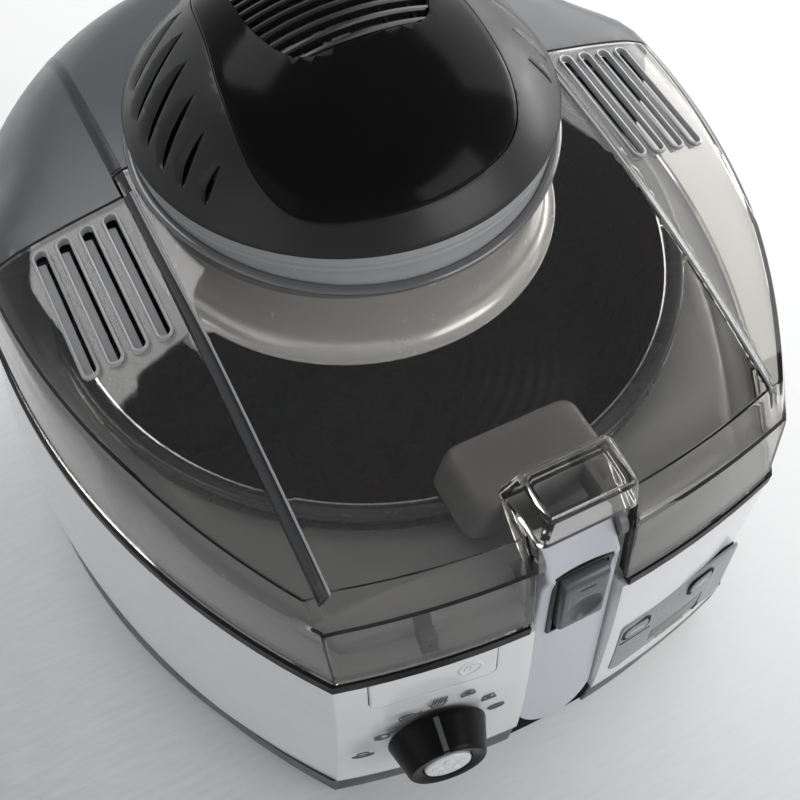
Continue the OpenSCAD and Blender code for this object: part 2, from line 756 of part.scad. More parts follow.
panel_t = 1;
module panel_outline(grow) {
    offset(r = grow) hull() {
        translate([0, -2]) circle(54, $fn = 96);
        translate([0, 30]) circle(46, $fn = 96);
        for (sx = [-1, 1]) translate([sx * 27, -32]) circle(25, $fn = 64);
    }
}
module grille_zone(grow) {
    offset(delta = grow) polygon([[-26, 0], [0, -1.5], [26, 0], [32, 12], [34.5, 22], [35, 34], [33, 62],
        [-33, 62], [-35, 34], [-34.5, 22], [-32, 12]]);
}

module dome() color("#1d1e20")
    difference() {
        intersection() {
            difference() {
                dome_ball(dome_r);
                dome_ball(dome_r - dome_wall);
            }
            translate([0, dome_y, dome_rim_z]) cylinder(r = rim_r + 5, h = 200);
        }
        intersection() {
            difference() {
                dome_ball(dome_r + 1);
                dome_ball(dome_r - panel_t);
            }
            translate([0, 0, dome_rim_z]) linear_extrude(200) panel_outline(0.3);
        }
        translate([0, 0, dome_rim_z]) linear_extrude(200) grille_zone(0);
        translate([0, dome_y, dome_rim_z - 10]) linear_extrude(200) {
            vents();
            mirror([1, 0]) vents();
        }
    }

module dome_panel() color("#0b0b0c")
    difference() {
        intersection() {
            difference() {
                dome_ball(dome_r);
                dome_ball(dome_r - panel_t + 0.05);
            }
            translate([0, 0, dome_rim_z]) linear_extrude(200) panel_outline(0);
        }
        translate([0, 0, dome_rim_z]) linear_extrude(200) grille_zone(0);
    }

module dome_grille() color("#141415")
    intersection() {
        difference() {
            dome_ball(dome_r - 0.2);
            dome_ball(dome_r - dome_wall - 1.5);
        }
        translate([0, 0, dome_rim_z]) linear_extrude(200) intersection() {
            grille_zone(-0.2);
            union() {
                for (i = [0:10]) translate([-40, -1.6 + i * 6]) square([80, 2.2]);
                for (x = [-24, -12, 0, 12, 24]) translate([x - 0.8, -2]) square([1.6, 70]);
                difference() {
                    grille_zone(0);
                    grille_zone(-1.6);
                }
            }
        }
    }

module drum() color("#c9cccf")
    translate([0, dome_y, 0]) rotate_extrude()
        polygon([[drum_r - drum_wall, collar_low], [drum_r, collar_low], [drum_r, drum_z + 6],
            [drum_r + 1, drum_z + 4], [drum_foot_r - 1.5, drum_z + 3], [drum_foot_r, drum_z + 2],
            [drum_foot_r, drum_z + 0.8], [drum_foot_r - 1, drum_z], [drum_r - 2, drum_z],
            [drum_r - 2, drum_z + 1.2], [drum_r - drum_wall, drum_z + 1.8]]);

guard_z = drum_z + 1.8;
module fan_guard() color("#b9bcbf")
    translate([0, dome_y, 0]) {
        for (r = [14, 30, 46, 62, 78]) ring(guard_z, guard_z + 1.2, r + 4, r - 4 + (r == 14 ? -4 : 0));
        for (a = [0:60:150]) rotate([0, 0, a]) translate([-drum_r + drum_wall + 1.5, -2, guard_z])
            cube([2 * (drum_r - drum_wall - 1.5), 4, 1.2]);
    }

coil_z = guard_z + 9;
coil_r = 66;
module upper_heater() color("#6d6a66")
    translate([0, dome_y, 0]) {
        translate([0, 0, coil_z]) rotate_extrude() translate([coil_r, 0]) circle(3.2, $fn = 32);
        for (sx = [-1, 1]) rotate([0, 0, 90 + sx * 8]) translate([coil_r + 1, 0, coil_z])
            cylinder(r = 2.4, h = plate_z - coil_z, $fn = 32);
    }

plate_z = collar_low - 3;
module fan_plate() color("#8f9295")
    translate([0, dome_y, 0]) ring(plate_z, plate_z + 2.5, drum_r - drum_wall - 0.1, 6);

spin_r = 3;
motor_low = plate_z + 2.5;
motor_h = 30;
module fan_motor() color("#55585b")
    translate([0, dome_y, 0]) difference() {
        union() {
            translate([0, 0, motor_low]) cylinder(r = 24, h = motor_h);
            for (a = [0, 120, 240]) rotate([0, 0, a]) translate([20, -5, motor_low]) cube([16, 10, 2]);
        }
        translate([0, 0, motor_low - 1]) cylinder(r = spin_r + run_gap, h = motor_h + 2);
        for (a = [0, 120, 240]) rotate([0, 0, a]) translate([31, 0, motor_low - 1]) cylinder(r = 1.7, h = 5);
    }

module motor_screws() color("silver")
    translate([0, dome_y, 0]) for (a = [0, 120, 240]) rotate([0, 0, a])
        translate([31, 0, motor_low + 4]) mirror([0, 0, 1]) screw(3, 2, 1.6, 2);

rotor_z = coil_z + 6;
module fan_shaft() color("silver")
    translate([0, dome_y, rotor_z + 1]) cylinder(r = spin_r, h = motor_low + motor_h + 10 - rotor_z);

module impeller() color("#a5a8ab")
    translate([0, dome_y, 0]) difference() {
        union() {
            translate([0, 0, rotor_z + 1]) cylinder(r = 9, h = plate_z - 2 - rotor_z - 1);
            translate([0, 0, plate_z - 3]) cylinder(r = fan_r, h = 1);
            for (i = [0:fan_blades - 1]) rotate([0, 0, i * 360 / fan_blades])
                translate([22, -0.6, rotor_z]) cube([fan_r - 22, 1.2, plate_z - 2.5 - rotor_z]);
        }
        translate([0, 0, rotor_z - 1]) cylinder(r = spin_r + 0.02, h = 60);
    }

cool_z = motor_low + motor_h + 3;
module cooling_fan() color("#303234")
    translate([0, dome_y, 0]) difference() {
        union() {
            translate([0, 0, cool_z]) cylinder(r = 7, h = 7);
            for (i = [0:6]) rotate([0, 0, i * 360 / 7]) translate([5, 0, cool_z + 3.5]) rotate([35, 0, 0])
                translate([0, -0.6, -4]) cube([25, 1.2, 8]);
        }
        translate([0, 0, cool_z - 1]) cylinder(r = spin_r + 0.02, h = 20);
    }

// ---- Pan, paddle and drive ----

tube_top = pan_floor + 36;
fillet = 18;
module pan() color("#2e2a28")
    difference() {
        translate([0, pan_y, 0]) rotate_extrude() polygon(concat(
            [[tube_r, pan_floor - pan_wall], [pan_r - 26, pan_floor - pan_wall]],
            [for (a = [-60:15:-15]) [pan_r - 26 + (fillet + pan_wall) * cos(a),
                pan_floor + fillet + (fillet + pan_wall) * sin(a)]],
            [[pan_r - 8 + pan_wall, pan_floor + fillet], [pan_r + pan_wall, rim_z - 8],
                [pan_r + pan_wall, rim_z - 3.5],
                [pan_r + pan_wall + 4.5, rim_z - 3.5], [pan_r + pan_wall + 5, rim_z],
                [pan_r + 8, rim_z + 1.6], [pan_r + 7.6, rim_z + 3.3], [pan_r, rim_z],
                [pan_r - 8, pan_floor + fillet]],
            [for (a = [-15:-15:-75]) [pan_r - 26 + fillet * cos(a), pan_floor + fillet + fillet * sin(a)]],
            [[pan_r - 26, pan_floor], [tube_r + 9, pan_floor], [tube_r + 3, pan_floor + 6],
                [tube_r + 2.5, tube_top], [tube_r, tube_top]]));
        for (s = rivet_spots) translate([s[0], s[1], rim_z - 2]) cylinder(r = 1.65, h = 10, $fn = 32);
    }

rivet_ring = pan_r + 5.8;
rivet_spots = [for (sx = [-1, 1]) [sx * 18, pan_y - sqrt(rivet_ring * rivet_ring - 18 * 18)]];
module bracket_rivets() color("silver")
    for (s = rivet_spots) translate([s[0], s[1], rim_z - 1.8]) cylinder(r = 1.6, h = 10, $fn = 32);

bracket_low = rim_z + 3.3 + gap;
bracket_h = 18.4;
bracket_back = pan_y - pan_r + 12;
bracket_front = pivot_y + boss_r + 10.5;
arm_in = handle_top_hw + gap;
arm_t = 3;
module handle_bracket() color("#77797c")
    difference() {
        union() {
            translate([0, bracket_back, 0]) rotate([90, 0, 0]) linear_extrude(bracket_back - bracket_front)
                polygon([[-32, bracket_low], [32, bracket_low], [28, bracket_low + bracket_h - 3],
                    [25, bracket_low + bracket_h], [-25, bracket_low + bracket_h],
                    [-28, bracket_low + bracket_h - 3]]);
            for (sx = [-1, 1]) translate([sx > 0 ? arm_in : -arm_in - arm_t, 0, 0]) {
                translate([0, pivot_y, pivot_z]) rotate([0, 90, 0]) cylinder(r = 7, h = arm_t, $fn = 64);
                translate([0, pivot_y, pivot_z - 7]) cube([arm_t, bracket_front - pivot_y + 2, 14]);
            }
        }
        translate([0, pivot_y, pivot_z]) rotate([0, 90, 0])
            cylinder(r = pin_r + 0.02, h = 60, center = true, $fn = 48);
        for (s = rivet_spots) translate([s[0], s[1], bracket_low - 1]) cylinder(r = 1.65, h = 7, $fn = 32);
    }

module handle_pin() color("silver")
    translate([0, pivot_y, pivot_z]) rotate([0, 90, 0])
        cylinder(r = pin_r, h = 2 * (arm_in + arm_t), center = true, $fn = 48);

handle_low = shell_low - 8;
bezel_hw = 12.5;
bezel_low = -46;
bezel_high = -2;
module handle_blade() {
    intersection() {
        translate([-30, 0, 0]) rotate([90, 0, 90]) linear_extrude(60)
            polygon([[face_top_y, face_top_z], [face_foot_y, face_foot_z],
                [face_foot_y + 1, handle_low], [face_foot_y + 12, handle_low],
                [face_foot_y + 14, face_foot_z + 20], [pivot_y + boss_r, pivot_z],
                [pivot_y - boss_r, pivot_z]]);
        translate([0, -far, 0]) rotate([90, 0, 0]) translate([0, 0, -2 * far]) linear_extrude(3 * far) {
            polygon([[-handle_top_hw, pivot_z + 20], [-handle_top_hw, pivot_z - 14],
                [-handle_foot_hw, handle_low + handle_foot_hw], [handle_foot_hw, handle_low + handle_foot_hw],
                [handle_top_hw, pivot_z - 14], [handle_top_hw, pivot_z + 20]]);
            translate([0, handle_low + handle_foot_hw]) circle(handle_foot_hw);
        }
    }
}

module handle() color("#b9bcc2")
    difference() {
        union() {
            handle_blade();
            translate([0, pivot_y, pivot_z]) rotate([0, 90, 0])
                cylinder(r = boss_r, h = 2 * handle_top_hw, center = true, $fn = 64);
        }
        on_handle() translate([-bezel_hw - 0.1, -8, bezel_low - 0.1])
            cube([2 * bezel_hw + 0.2, 14, bezel_high - bezel_low + 0.2]);
        translate([0, pivot_y, pivot_z]) rotate([0, 90, 0])
            cylinder(r = pin_r + run_gap, h = 60, center = true, $fn = 48);
    }

slider_hw = 10;
slider_low = bezel_low + 2 + slider_travel;
slider_high = bezel_high - 3;
module slider_bezel() color("#0e0e0f")
    on_handle() difference() {
        translate([-bezel_hw, -0.6, bezel_low]) cube([2 * bezel_hw, 6.5, bezel_high - bezel_low]);
        translate([-slider_hw - gap, -3, bezel_low + 1.6])
            cube([2 * (slider_hw + gap), 7.5, bezel_high - bezel_low - 4]);
    }

module slider() color("#26272a")
    on_handle() difference() {
        translate([-slider_hw, -2, slider_low]) cube([2 * slider_hw, 6, slider_high - slider_low]);
        translate([0, -8.5, slider_low + 11]) sphere(9.5, $fn = 64);
    }

drive_top = tube_top + 9;
hex_r = 5;
module drive_shaft() color("silver")
    translate([0, pan_y, 0]) {
        translate([0, 0, gear_top - 12]) cylinder(r = shaft_r, h = drive_top - 8 - gear_top + 12);
        translate([0, 0, drive_top - 10]) cylinder(r = hex_r, h = 10, $fn = 6);
    }

hub_r = tube_r + 6.5;
hub_low = pan_floor + 6.5;
module paddle() color("#333539")
    translate([0, pan_y, 0]) difference() {
        union() {
            translate([0, 0, hub_low]) cylinder(r1 = hub_r + 3, r2 = hub_r, h = drive_top + 3 - hub_low);
            translate([0, 0, drive_top + 3]) cylinder(r1 = hub_r, r2 = 7, h = 4);
            translate([0, 0, drive_top + 7]) cylinder(r = 7, h = 7);
            rotate([0, 0, 200]) translate([0, blade_t / 2, 0]) rotate([90, 0, 0]) linear_extrude(blade_t)
                polygon([[hub_r - 2, hub_low], [hub_r + 8, pan_floor + 1], [pan_r - 22, pan_floor + 1],
                    [pan_r - 15, pan_floor + 7], [pan_r - 11, pan_floor + 19], [pan_r - 9, pan_floor + 40],
                    [pan_r - 16, pan_floor + 42], [pan_r - 20, pan_floor + 22], [pan_r - 32, pan_floor + 14],
                    [hub_r + 12, pan_floor + 16], [hub_r - 2, pan_floor + 30]]);
            rotate([0, 0, 20]) translate([0, blade_t / 2, 0]) rotate([90, 0, 0]) linear_extrude(blade_t)
                polygon([[hub_r - 2, hub_low], [hub_r + 8, pan_floor + 1], [64, pan_floor + 1],
                    [68, pan_floor + 12], [hub_r + 10, pan_floor + 14], [hub_r - 2, pan_floor + 24]]);
        }
        translate([0, 0, pan_floor]) cylinder(r = tube_r + 3.6, h = tube_top + gap - pan_floor);
        translate([0, 0, pan_floor - 0.1]) cylinder(r1 = tube_r + 10, r2 = tube_r + 3.6, h = 7.5);
        translate([0, 0, tube_top]) cylinder(r = hex_r + 0.35, h = drive_top + 0.4 - tube_top, $fn = 6);
    }

base_shell();
bottom_pan();
rubber_feet();
seal_band();
deck();
well_liner();
lower_heater();
heater_clips();
gearmotor();
deck_screws();
hinge_pin();
selector_switch();
power_board();
cord_inlet();
latch_pin();
display_panel();
display_lens();
control_board();
lid_shell();
notch_trim();
rear_housing();
lid_liner();
lid_collar();
dome();
dome_panel();
dome_grille();
drum();
fan_guard();
upper_heater();
fan_plate();
fan_motor();
motor_screws();
fan_shaft();
impeller();
cooling_fan();
drive_shaft();
paddle();
pan();
handle_bracket();
bracket_rivets();
handle_pin();
handle();
slider_bezel();
slider();
knob();
knob_cap();
knob_shaft();
release_button();
latch_lever();
timer_button_left();
timer_button_right();
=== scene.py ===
import bpy
import bmesh
import json
from math import asin, atan2, cos, exp, pi, radians, sin, sqrt
from mathutils import Matrix, Vector

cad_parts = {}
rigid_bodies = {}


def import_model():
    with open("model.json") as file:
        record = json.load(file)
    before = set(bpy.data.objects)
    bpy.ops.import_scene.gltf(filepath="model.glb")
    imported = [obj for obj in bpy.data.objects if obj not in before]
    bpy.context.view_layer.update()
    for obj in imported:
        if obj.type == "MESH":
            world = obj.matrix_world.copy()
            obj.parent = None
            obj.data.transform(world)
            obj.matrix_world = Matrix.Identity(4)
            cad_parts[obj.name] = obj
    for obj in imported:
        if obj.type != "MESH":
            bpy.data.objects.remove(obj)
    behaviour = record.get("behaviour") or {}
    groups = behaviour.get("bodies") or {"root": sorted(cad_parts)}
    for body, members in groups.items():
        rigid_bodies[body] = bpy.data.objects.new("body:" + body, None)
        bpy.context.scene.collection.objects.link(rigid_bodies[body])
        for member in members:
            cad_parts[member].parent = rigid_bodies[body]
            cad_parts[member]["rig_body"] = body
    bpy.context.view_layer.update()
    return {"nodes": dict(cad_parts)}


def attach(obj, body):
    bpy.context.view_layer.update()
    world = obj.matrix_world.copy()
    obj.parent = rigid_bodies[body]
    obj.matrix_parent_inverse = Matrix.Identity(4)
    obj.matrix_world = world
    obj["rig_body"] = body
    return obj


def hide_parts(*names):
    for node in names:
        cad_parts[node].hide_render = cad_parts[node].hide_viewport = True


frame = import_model()
nodes = frame["nodes"]
MM = 0.001


# ---- Camera -------------------------------------------------------------------------------

def set_camera():
    turn, tilt, roll = radians(-27.9875), radians(56.2656), radians(1.0001)
    back = Vector((sin(turn) * cos(tilt), -cos(turn) * cos(tilt), sin(tilt)))
    right = Vector((cos(turn), sin(turn), 0))
    up = back.cross(right)
    side = cos(roll) * right + sin(roll) * up
    top = -sin(roll) * right + cos(roll) * up
    data = bpy.data.cameras.new("camera")
    data.sensor_width = 36
    data.lens = 51.81
    data.clip_start = 0.01
    camera = bpy.data.objects.new("camera", data)
    bpy.context.scene.collection.objects.link(camera)
    camera.matrix_world = Matrix((
        (side.x, top.x, back.x, -0.145178),
        (side.y, top.y, back.y, -0.305110),
        (side.z, top.z, back.z, 0.535769),
        (0, 0, 0, 1)))
    bpy.context.scene.camera = camera


set_camera()


# ---- Material kit -------------------------------------------------------------------------

def new_material(name):
    mat = bpy.data.materials.new(name)
    mat.use_nodes = True
    tree = mat.node_tree
    shader = tree.nodes["Principled BSDF"]
    return mat, tree, shader


def object_noise(tree, scale, detail=3.0, stretch=(1, 1, 1)):
    coords = tree.nodes.new("ShaderNodeTexCoord")
    place = tree.nodes.new("ShaderNodeMapping")
    place.inputs["Scale"].default_value = stretch
    noise = tree.nodes.new("ShaderNodeTexNoise")
    noise.inputs["Scale"].default_value = scale
    noise.inputs["Detail"].default_value = detail
    noise.inputs["Roughness"].default_value = 0.55
    tree.links.new(coords.outputs["Object"], place.inputs["Vector"])
    tree.links.new(place.outputs["Vector"], noise.inputs["Vector"])
    return noise.outputs["Fac"]


NOISE_SPAN = (0.3, 0.7)


def ramp(tree, value, low, high):
    node = tree.nodes.new("ShaderNodeValToRGB")
    for stop, position, colour in zip(node.color_ramp.elements, NOISE_SPAN, (low, high)):
        stop.position, stop.color = position, (*colour, 1)
    tree.links.new(value, node.inputs["Fac"])
    return node.outputs["Color"]


def spread(tree, value, low, high):
    node = tree.nodes.new("ShaderNodeMapRange")
    node.inputs["From Min"].default_value, node.inputs["From Max"].default_value = NOISE_SPAN
    node.inputs["To Min"].default_value = low
    node.inputs["To Max"].default_value = high
    tree.links.new(value, node.inputs["Value"])
    return node.outputs["Result"]


def bump(tree, shader, value, strength, distance):
    node = tree.nodes.new("ShaderNodeBump")
    node.inputs["Strength"].default_value = strength
    node.inputs["Distance"].default_value = distance
    tree.links.new(value, node.inputs["Height"])
    tree.links.new(node.outputs["Normal"], shader.inputs["Normal"])


def plastic(name, colour, rough=(0.3, 0.4), grain=0.0, grain_scale=900, mottle=0.06, coat=0.0, spec=0.5, shine=0.0):
    mat, tree, shader = new_material(name)
    cloud = object_noise(tree, 35, 4)
    low = tuple(c * (1 - mottle) for c in colour)
    high = tuple(min(1, c * (1 + mottle)) for c in colour)
    tree.links.new(ramp(tree, cloud, low, high), shader.inputs["Base Color"])
    tree.links.new(spread(tree, object_noise(tree, 90, 5), *rough), shader.inputs["Roughness"])
    shader.inputs["Specular IOR Level"].default_value = spec
    shader.inputs["Metallic"].default_value = shine
    if coat:
        shader.inputs["Coat Weight"].default_value = coat
        shader.inputs["Coat Roughness"].default_value = 0.08
    if grain:
        bump(tree, shader, object_noise(tree, grain_scale, 2), grain, 0.0002)
    return mat


def metal(name, colour, rough=(0.15, 0.25), stretch=(1, 1, 1), grain=0.05, grain_scale=600):
    mat, tree, shader = new_material(name)
    shader.inputs["Metallic"].default_value = 1.0
    streak = object_noise(tree, grain_scale, 2, stretch)
    low = tuple(c * 0.93 for c in colour)
    tree.links.new(ramp(tree, streak, low, colour), shader.inputs["Base Color"])
    tree.links.new(spread(tree, streak, *rough), shader.inputs["Roughness"])
    if grain:
        bump(tree, shader, streak, grain, 0.0001)
    return mat


def clear_plastic(name, tint, pass_tint, rough=0.03, share=1.0):
    mat, tree, shader = new_material(name)
    shader.inputs["Transmission Weight"].default_value = share
    shader.inputs["IOR"].default_value = 1.46
    shader.inputs["Specular IOR Level"].default_value = 1.0
    cloud = object_noise(tree, 18, 3)
    low = tuple(c * 0.97 for c in tint)
    tree.links.new(ramp(tree, cloud, low, tint), shader.inputs["Base Color"])
    tree.links.new(spread(tree, object_noise(tree, 60, 4), rough * 0.7, rough * 1.3), shader.inputs["Roughness"])
    clear = tree.nodes.new("ShaderNodeBsdfTransparent")
    clear.inputs["Color"].default_value = (*pass_tint, 1)
    path = tree.nodes.new("ShaderNodeLightPath")
    mix = tree.nodes.new("ShaderNodeMixShader")
    out = tree.nodes["Material Output"]
    tree.links.new(path.outputs["Is Shadow Ray"], mix.inputs["Fac"])
    tree.links.new(shader.outputs["BSDF"], mix.inputs[1])
    tree.links.new(clear.outputs["BSDF"], mix.inputs[2])
    tree.links.new(mix.outputs["Shader"], out.inputs["Surface"])
    return mat


white_gloss = plastic("white_gloss", (0.78, 0.78, 0.785), (0.16, 0.24), 0.02, mottle=0.012, coat=0.3)
skirt_grey = plastic("skirt_grey", (0.035, 0.037, 0.04), (0.3, 0.42), 0.12, 1400)
seal_black = plastic("seal_black", (0.005, 0.005, 0.005), (0.35, 0.5), 0.1, 1200, spec=0.2)
deck_grey = plastic("deck_grey", (0.19, 0.195, 0.203), (0.28, 0.33), 0.04, 1500, mottle=0.02)
housing_grey = plastic("housing_grey", (0.072, 0.076, 0.084), (0.28, 0.34), 0.04, 1600, mottle=0.015)
dome_black = plastic("dome_black", (0.011, 0.011, 0.0112), (0.3, 0.38), 0.04, 1700, mottle=0.03, spec=0.36)
panel_gloss = plastic("panel_gloss", (0.0045, 0.0045, 0.0048), (0.12, 0.18), spec=0.07)
grille_black = plastic("grille_black", (0.010, 0.010, 0.010), (0.2, 0.3), 0.02, spec=0.4)
knob_black = plastic("knob_black", (0.003, 0.003, 0.0031), (0.25, 0.36), 0.05, 1500, mottle=0.05, spec=0.13)
slider_black = plastic("slider_black", (0.012, 0.0125, 0.014), (0.25, 0.36), 0.06, 1500)
paddle_black = plastic("paddle_black", (0.013, 0.0135, 0.015), (0.3, 0.4), 0.08, 1200)
off_white = plastic("off_white", (0.62, 0.62, 0.6), (0.35, 0.45), 0.08)
rubber_black = plastic("rubber_black", (0.012, 0.012, 0.012), (0.6, 0.75), 0.25, 900)
board_green = plastic("board_green", (0.02, 0.11, 0.04), (0.3, 0.45), 0.05)
silver_paint = plastic("silver_paint", (0.47, 0.485, 0.52), (0.28, 0.36), 0.03, 2500, mottle=0.015, coat=0.25)
polished = metal("polished_steel", (0.9, 0.9, 0.91), (0.14, 0.24), (1, 1, 0.03), 0.02, 900)
brushed = metal("brushed_steel", (0.62, 0.62, 0.63), (0.22, 0.34), (0.05, 0.05, 1), 0.08, 1500)
cast_alloy = metal("cast_alloy", (0.55, 0.56, 0.57), (0.3, 0.42), grain=0.1)
heater_sheath = metal("heater_sheath", (0.16, 0.145, 0.13), (0.35, 0.55), grain=0.15)
pan_coat = plastic("pan_coat", (0.04, 0.022, 0.012), (0.24, 0.32), 0.1, 1800, mottle=0.08, coat=0.3)
smoke = clear_plastic("smoked_plastic", (0.805, 0.79, 0.76), (0.67, 0.655, 0.63), 0.03)
frost = clear_plastic("frosted_plastic", (0.62, 0.625, 0.63), (0.7, 0.7, 0.7), 0.22, share=0.45)
bezel_black = plastic("bezel_black", (0.012, 0.012, 0.014), (0.2, 0.3), spec=0.3)
slider_grey = plastic("slider_grey", (0.075, 0.077, 0.085), (0.2, 0.3), 0.05, 1800, mottle=0.04)
bracket_grey = plastic("bracket_grey", (0.15, 0.15, 0.153), (0.28, 0.4), 0.15, 1300)
handle_silver = plastic("handle_silver", (0.56, 0.567, 0.61), (0.28, 0.32), 0.0, 2500, mottle=0.012, coat=0.3)
panel_grey = plastic("panel_grey", (0.26, 0.262, 0.268), (0.25, 0.34), 0.03, 2400, mottle=0.02)
cap_white = plastic("cap_white", (0.75, 0.75, 0.76), (0.18, 0.28), 0.25, 420, mottle=0.02, coat=0.5)
pointer_grey = plastic("pointer_grey", (0.085, 0.085, 0.087), (0.3, 0.4), mottle=0.05)
# opaque near-black strip on the clear crease step: painted shade and reflection
crease_shade_black = plastic("crease_shade_black", (0.011, 0.011, 0.012), (0.1, 0.18), coat=0.35, mottle=0.15)
drum_steel = plastic("drum_steel", (0.92, 0.92, 0.93), (0.2, 0.28), 0.02, 1500, mottle=0.015, coat=0.3, shine=0.35)
neck_grey = plastic("neck_grey", (0.12, 0.12, 0.123), (0.14, 0.22), coat=0.6, mottle=0.04)
# near-black rail along the housing's step: a painted shadow line
rail_shadow_black = plastic("rail_shadow_black", (0.014, 0.0145, 0.017), (0.24, 0.34), 0.05, 1500, mottle=0.04)
fin_grey = plastic("fin_grey", (0.30, 0.303, 0.31), (0.3, 0.4), 0.03, 1500, mottle=0.03)
# opaque light grey on clear edges, lips and slot rims: a painted highlight
edge_highlight_grey = plastic("edge_highlight_grey", (0.34, 0.34, 0.345), (0.06, 0.12), coat=0.8, mottle=0.03)
rim_steel = plastic("rim_steel", (0.035, 0.038, 0.045), (0.2, 0.3), 0.04, 1400, mottle=0.1, coat=0.4)
rim_bright = metal("rim_bright", (0.75, 0.76, 0.78), (0.12, 0.2))
mark_grey = plastic("mark_grey", (0.13, 0.13, 0.135), (0.35, 0.5), mottle=0.1)
lens_dark = clear_plastic("lens_dark", (0.10, 0.11, 0.11), (0.1, 0.11, 0.11), 0.08)

SKIN = {
    "base_shell": white_gloss, "bottom_pan": skirt_grey, "rubber_feet": rubber_black, "seal_band": seal_black,
    "deck": deck_grey, "well_liner": brushed, "lower_heater": heater_sheath, "heater_clips": brushed,
    "gearmotor": skirt_grey, "deck_screws": brushed, "hinge_pin": brushed, "selector_switch": knob_black,
    "power_board": board_green, "cord_inlet": rubber_black, "latch_pin": off_white, "display_panel": silver_paint,
    "display_lens": lens_dark, "control_board": board_green, "lid_shell": smoke, "notch_trim": seal_black,
    "rear_housing": housing_grey, "lid_liner": skirt_grey, "lid_collar": frost, "dome": dome_black,
    "dome_panel": panel_gloss, "dome_grille": grille_black, "drum": polished, "fan_guard": polished,
    "upper_heater": heater_sheath, "fan_plate": brushed, "fan_motor": skirt_grey, "motor_screws": brushed,
    "fan_shaft": brushed, "impeller": cast_alloy, "cooling_fan": knob_black, "drive_shaft": brushed,
    "paddle": paddle_black, "pan": pan_coat, "handle_bracket": deck_grey, "bracket_rivets": brushed,
    "handle_pin": brushed, "handle": silver_paint, "slider_bezel": panel_gloss, "slider": slider_black,
    "knob": knob_black, "knob_cap": off_white, "knob_shaft": brushed, "release_button": white_gloss,
    "latch_lever": slider_black, "timer_button_left": silver_paint, "timer_button_right": silver_paint,
}


# ---- Modelling kit ------------------------------------------------------------------------

def deselect():
    if bpy.context.object and bpy.context.object.mode != "OBJECT":
        bpy.ops.object.mode_set(mode="OBJECT")
    bpy.ops.object.select_all(action="DESELECT")


def take(piece):
    deselect()
    piece.select_set(True)
    bpy.context.view_layer.objects.active = piece


def finish_mesh(piece, angle=32):
    take(piece)
    bpy.ops.object.shade_smooth_by_angle(angle=radians(angle))


def paint(piece, mat):
    piece.data.materials.clear()
    piece.data.materials.append(mat)


def smooth_copy(node):
    source = nodes[node]
    piece = bpy.data.objects.new(node + "_finished", source.data.copy())
    bpy.context.scene.collection.objects.link(piece)
    take(piece)
    bpy.ops.object.mode_set(mode="EDIT")
    bpy.ops.mesh.select_all(action="SELECT")
    bpy.ops.mesh.remove_doubles(threshold=0.000002)
    bpy.ops.mesh.dissolve_limited(angle_limit=radians(0.4))
    bpy.ops.object.mode_set(mode="OBJECT")
    finish_mesh(piece)
    paint(piece, SKIN[node])
    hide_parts(node)
    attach(piece, source["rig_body"])


def place_selected(piece, ring, before=None):
    """Moves the selected corners to the ring's points, matched by their place on the ring before."""
    mesh = bmesh.from_edit_mesh(piece.data)
    mesh.verts.ensure_lookup_table()
    picked = [v for v in mesh.verts if v.select]
    if before is None:
        for v, p in zip(picked, ring):
            v.co = Vector(p) * MM
    else:
        known = {tuple(round(c * MM, 7) for c in p): k for k, p in enumerate(before)}
        for v in picked:
            k = known.get(tuple(round(c, 7) for c in v.co))
            if k is None:
                k = min(range(len(before)), key=lambda n: (Vector(before[n]) * MM - v.co).length)
            v.co = Vector(ring[k]) * MM
    bmesh.update_edit_mesh(piece.data)


def loft(name, rings, capped=True):
    """A solid or an open sleeve extruded ring by ring from a circle; points in millimetres."""
    deselect()
    bpy.ops.mesh.primitive_circle_add(vertices=len(rings[0]), radius=1, fill_type="NGON" if capped else "NOTHING")
    piece = bpy.context.object
    piece.name = name
    bpy.ops.object.mode_set(mode="EDIT")
    bpy.ops.mesh.select_all(action="SELECT")
    place_selected(piece, rings[0])
    for before, ring in zip(rings, rings[1:]):
        bpy.ops.mesh.extrude_region_move()
        place_selected(piece, ring, before)
    bpy.ops.mesh.select_all(action="SELECT")
    bpy.ops.mesh.normals_make_consistent(inside=False)
    bpy.ops.object.mode_set(mode="OBJECT")
    return piece


def band(name, rings):
    """A closed band: its rings make the sleeve, and the last ring is bridged back to the first."""
    piece = loft(name, rings, capped=False)
    take(piece)
    bpy.ops.object.mode_set(mode="EDIT")
    bpy.ops.mesh.select_all(action="DESELECT")
    bpy.ops.mesh.select_non_manifold()
    bpy.ops.mesh.bridge_edge_loops()
    bpy.ops.mesh.select_all(action="SELECT")
    bpy.ops.mesh.normals_make_consistent(inside=False)
    bpy.ops.object.mode_set(mode="OBJECT")
    return piece


def spun(name, profile, centre=(0, 0), steps=96):
    """A closed profile of (radius, height) in millimetres turned about the upright line through centre."""
    deselect()
    bpy.ops.mesh.primitive_circle_add(vertices=len(profile), radius=1, fill_type="NOTHING")
    piece = bpy.context.object
    piece.name = name
    bpy.ops.object.mode_set(mode="EDIT")
    bpy.ops.mesh.select_all(action="SELECT")
    place_selected(piece, [(centre[0] + r, centre[1], z) for r, z in profile])
    bpy.ops.mesh.spin(steps=steps, angle=2 * pi, center=(centre[0] * MM, centre[1] * MM, 0), axis=(0, 0, 1))
    bpy.ops.mesh.select_all(action="SELECT")
    bpy.ops.mesh.remove_doubles(threshold=0.000005)
    bpy.ops.mesh.normals_make_consistent(inside=False)
    bpy.ops.object.mode_set(mode="OBJECT")
    return piece


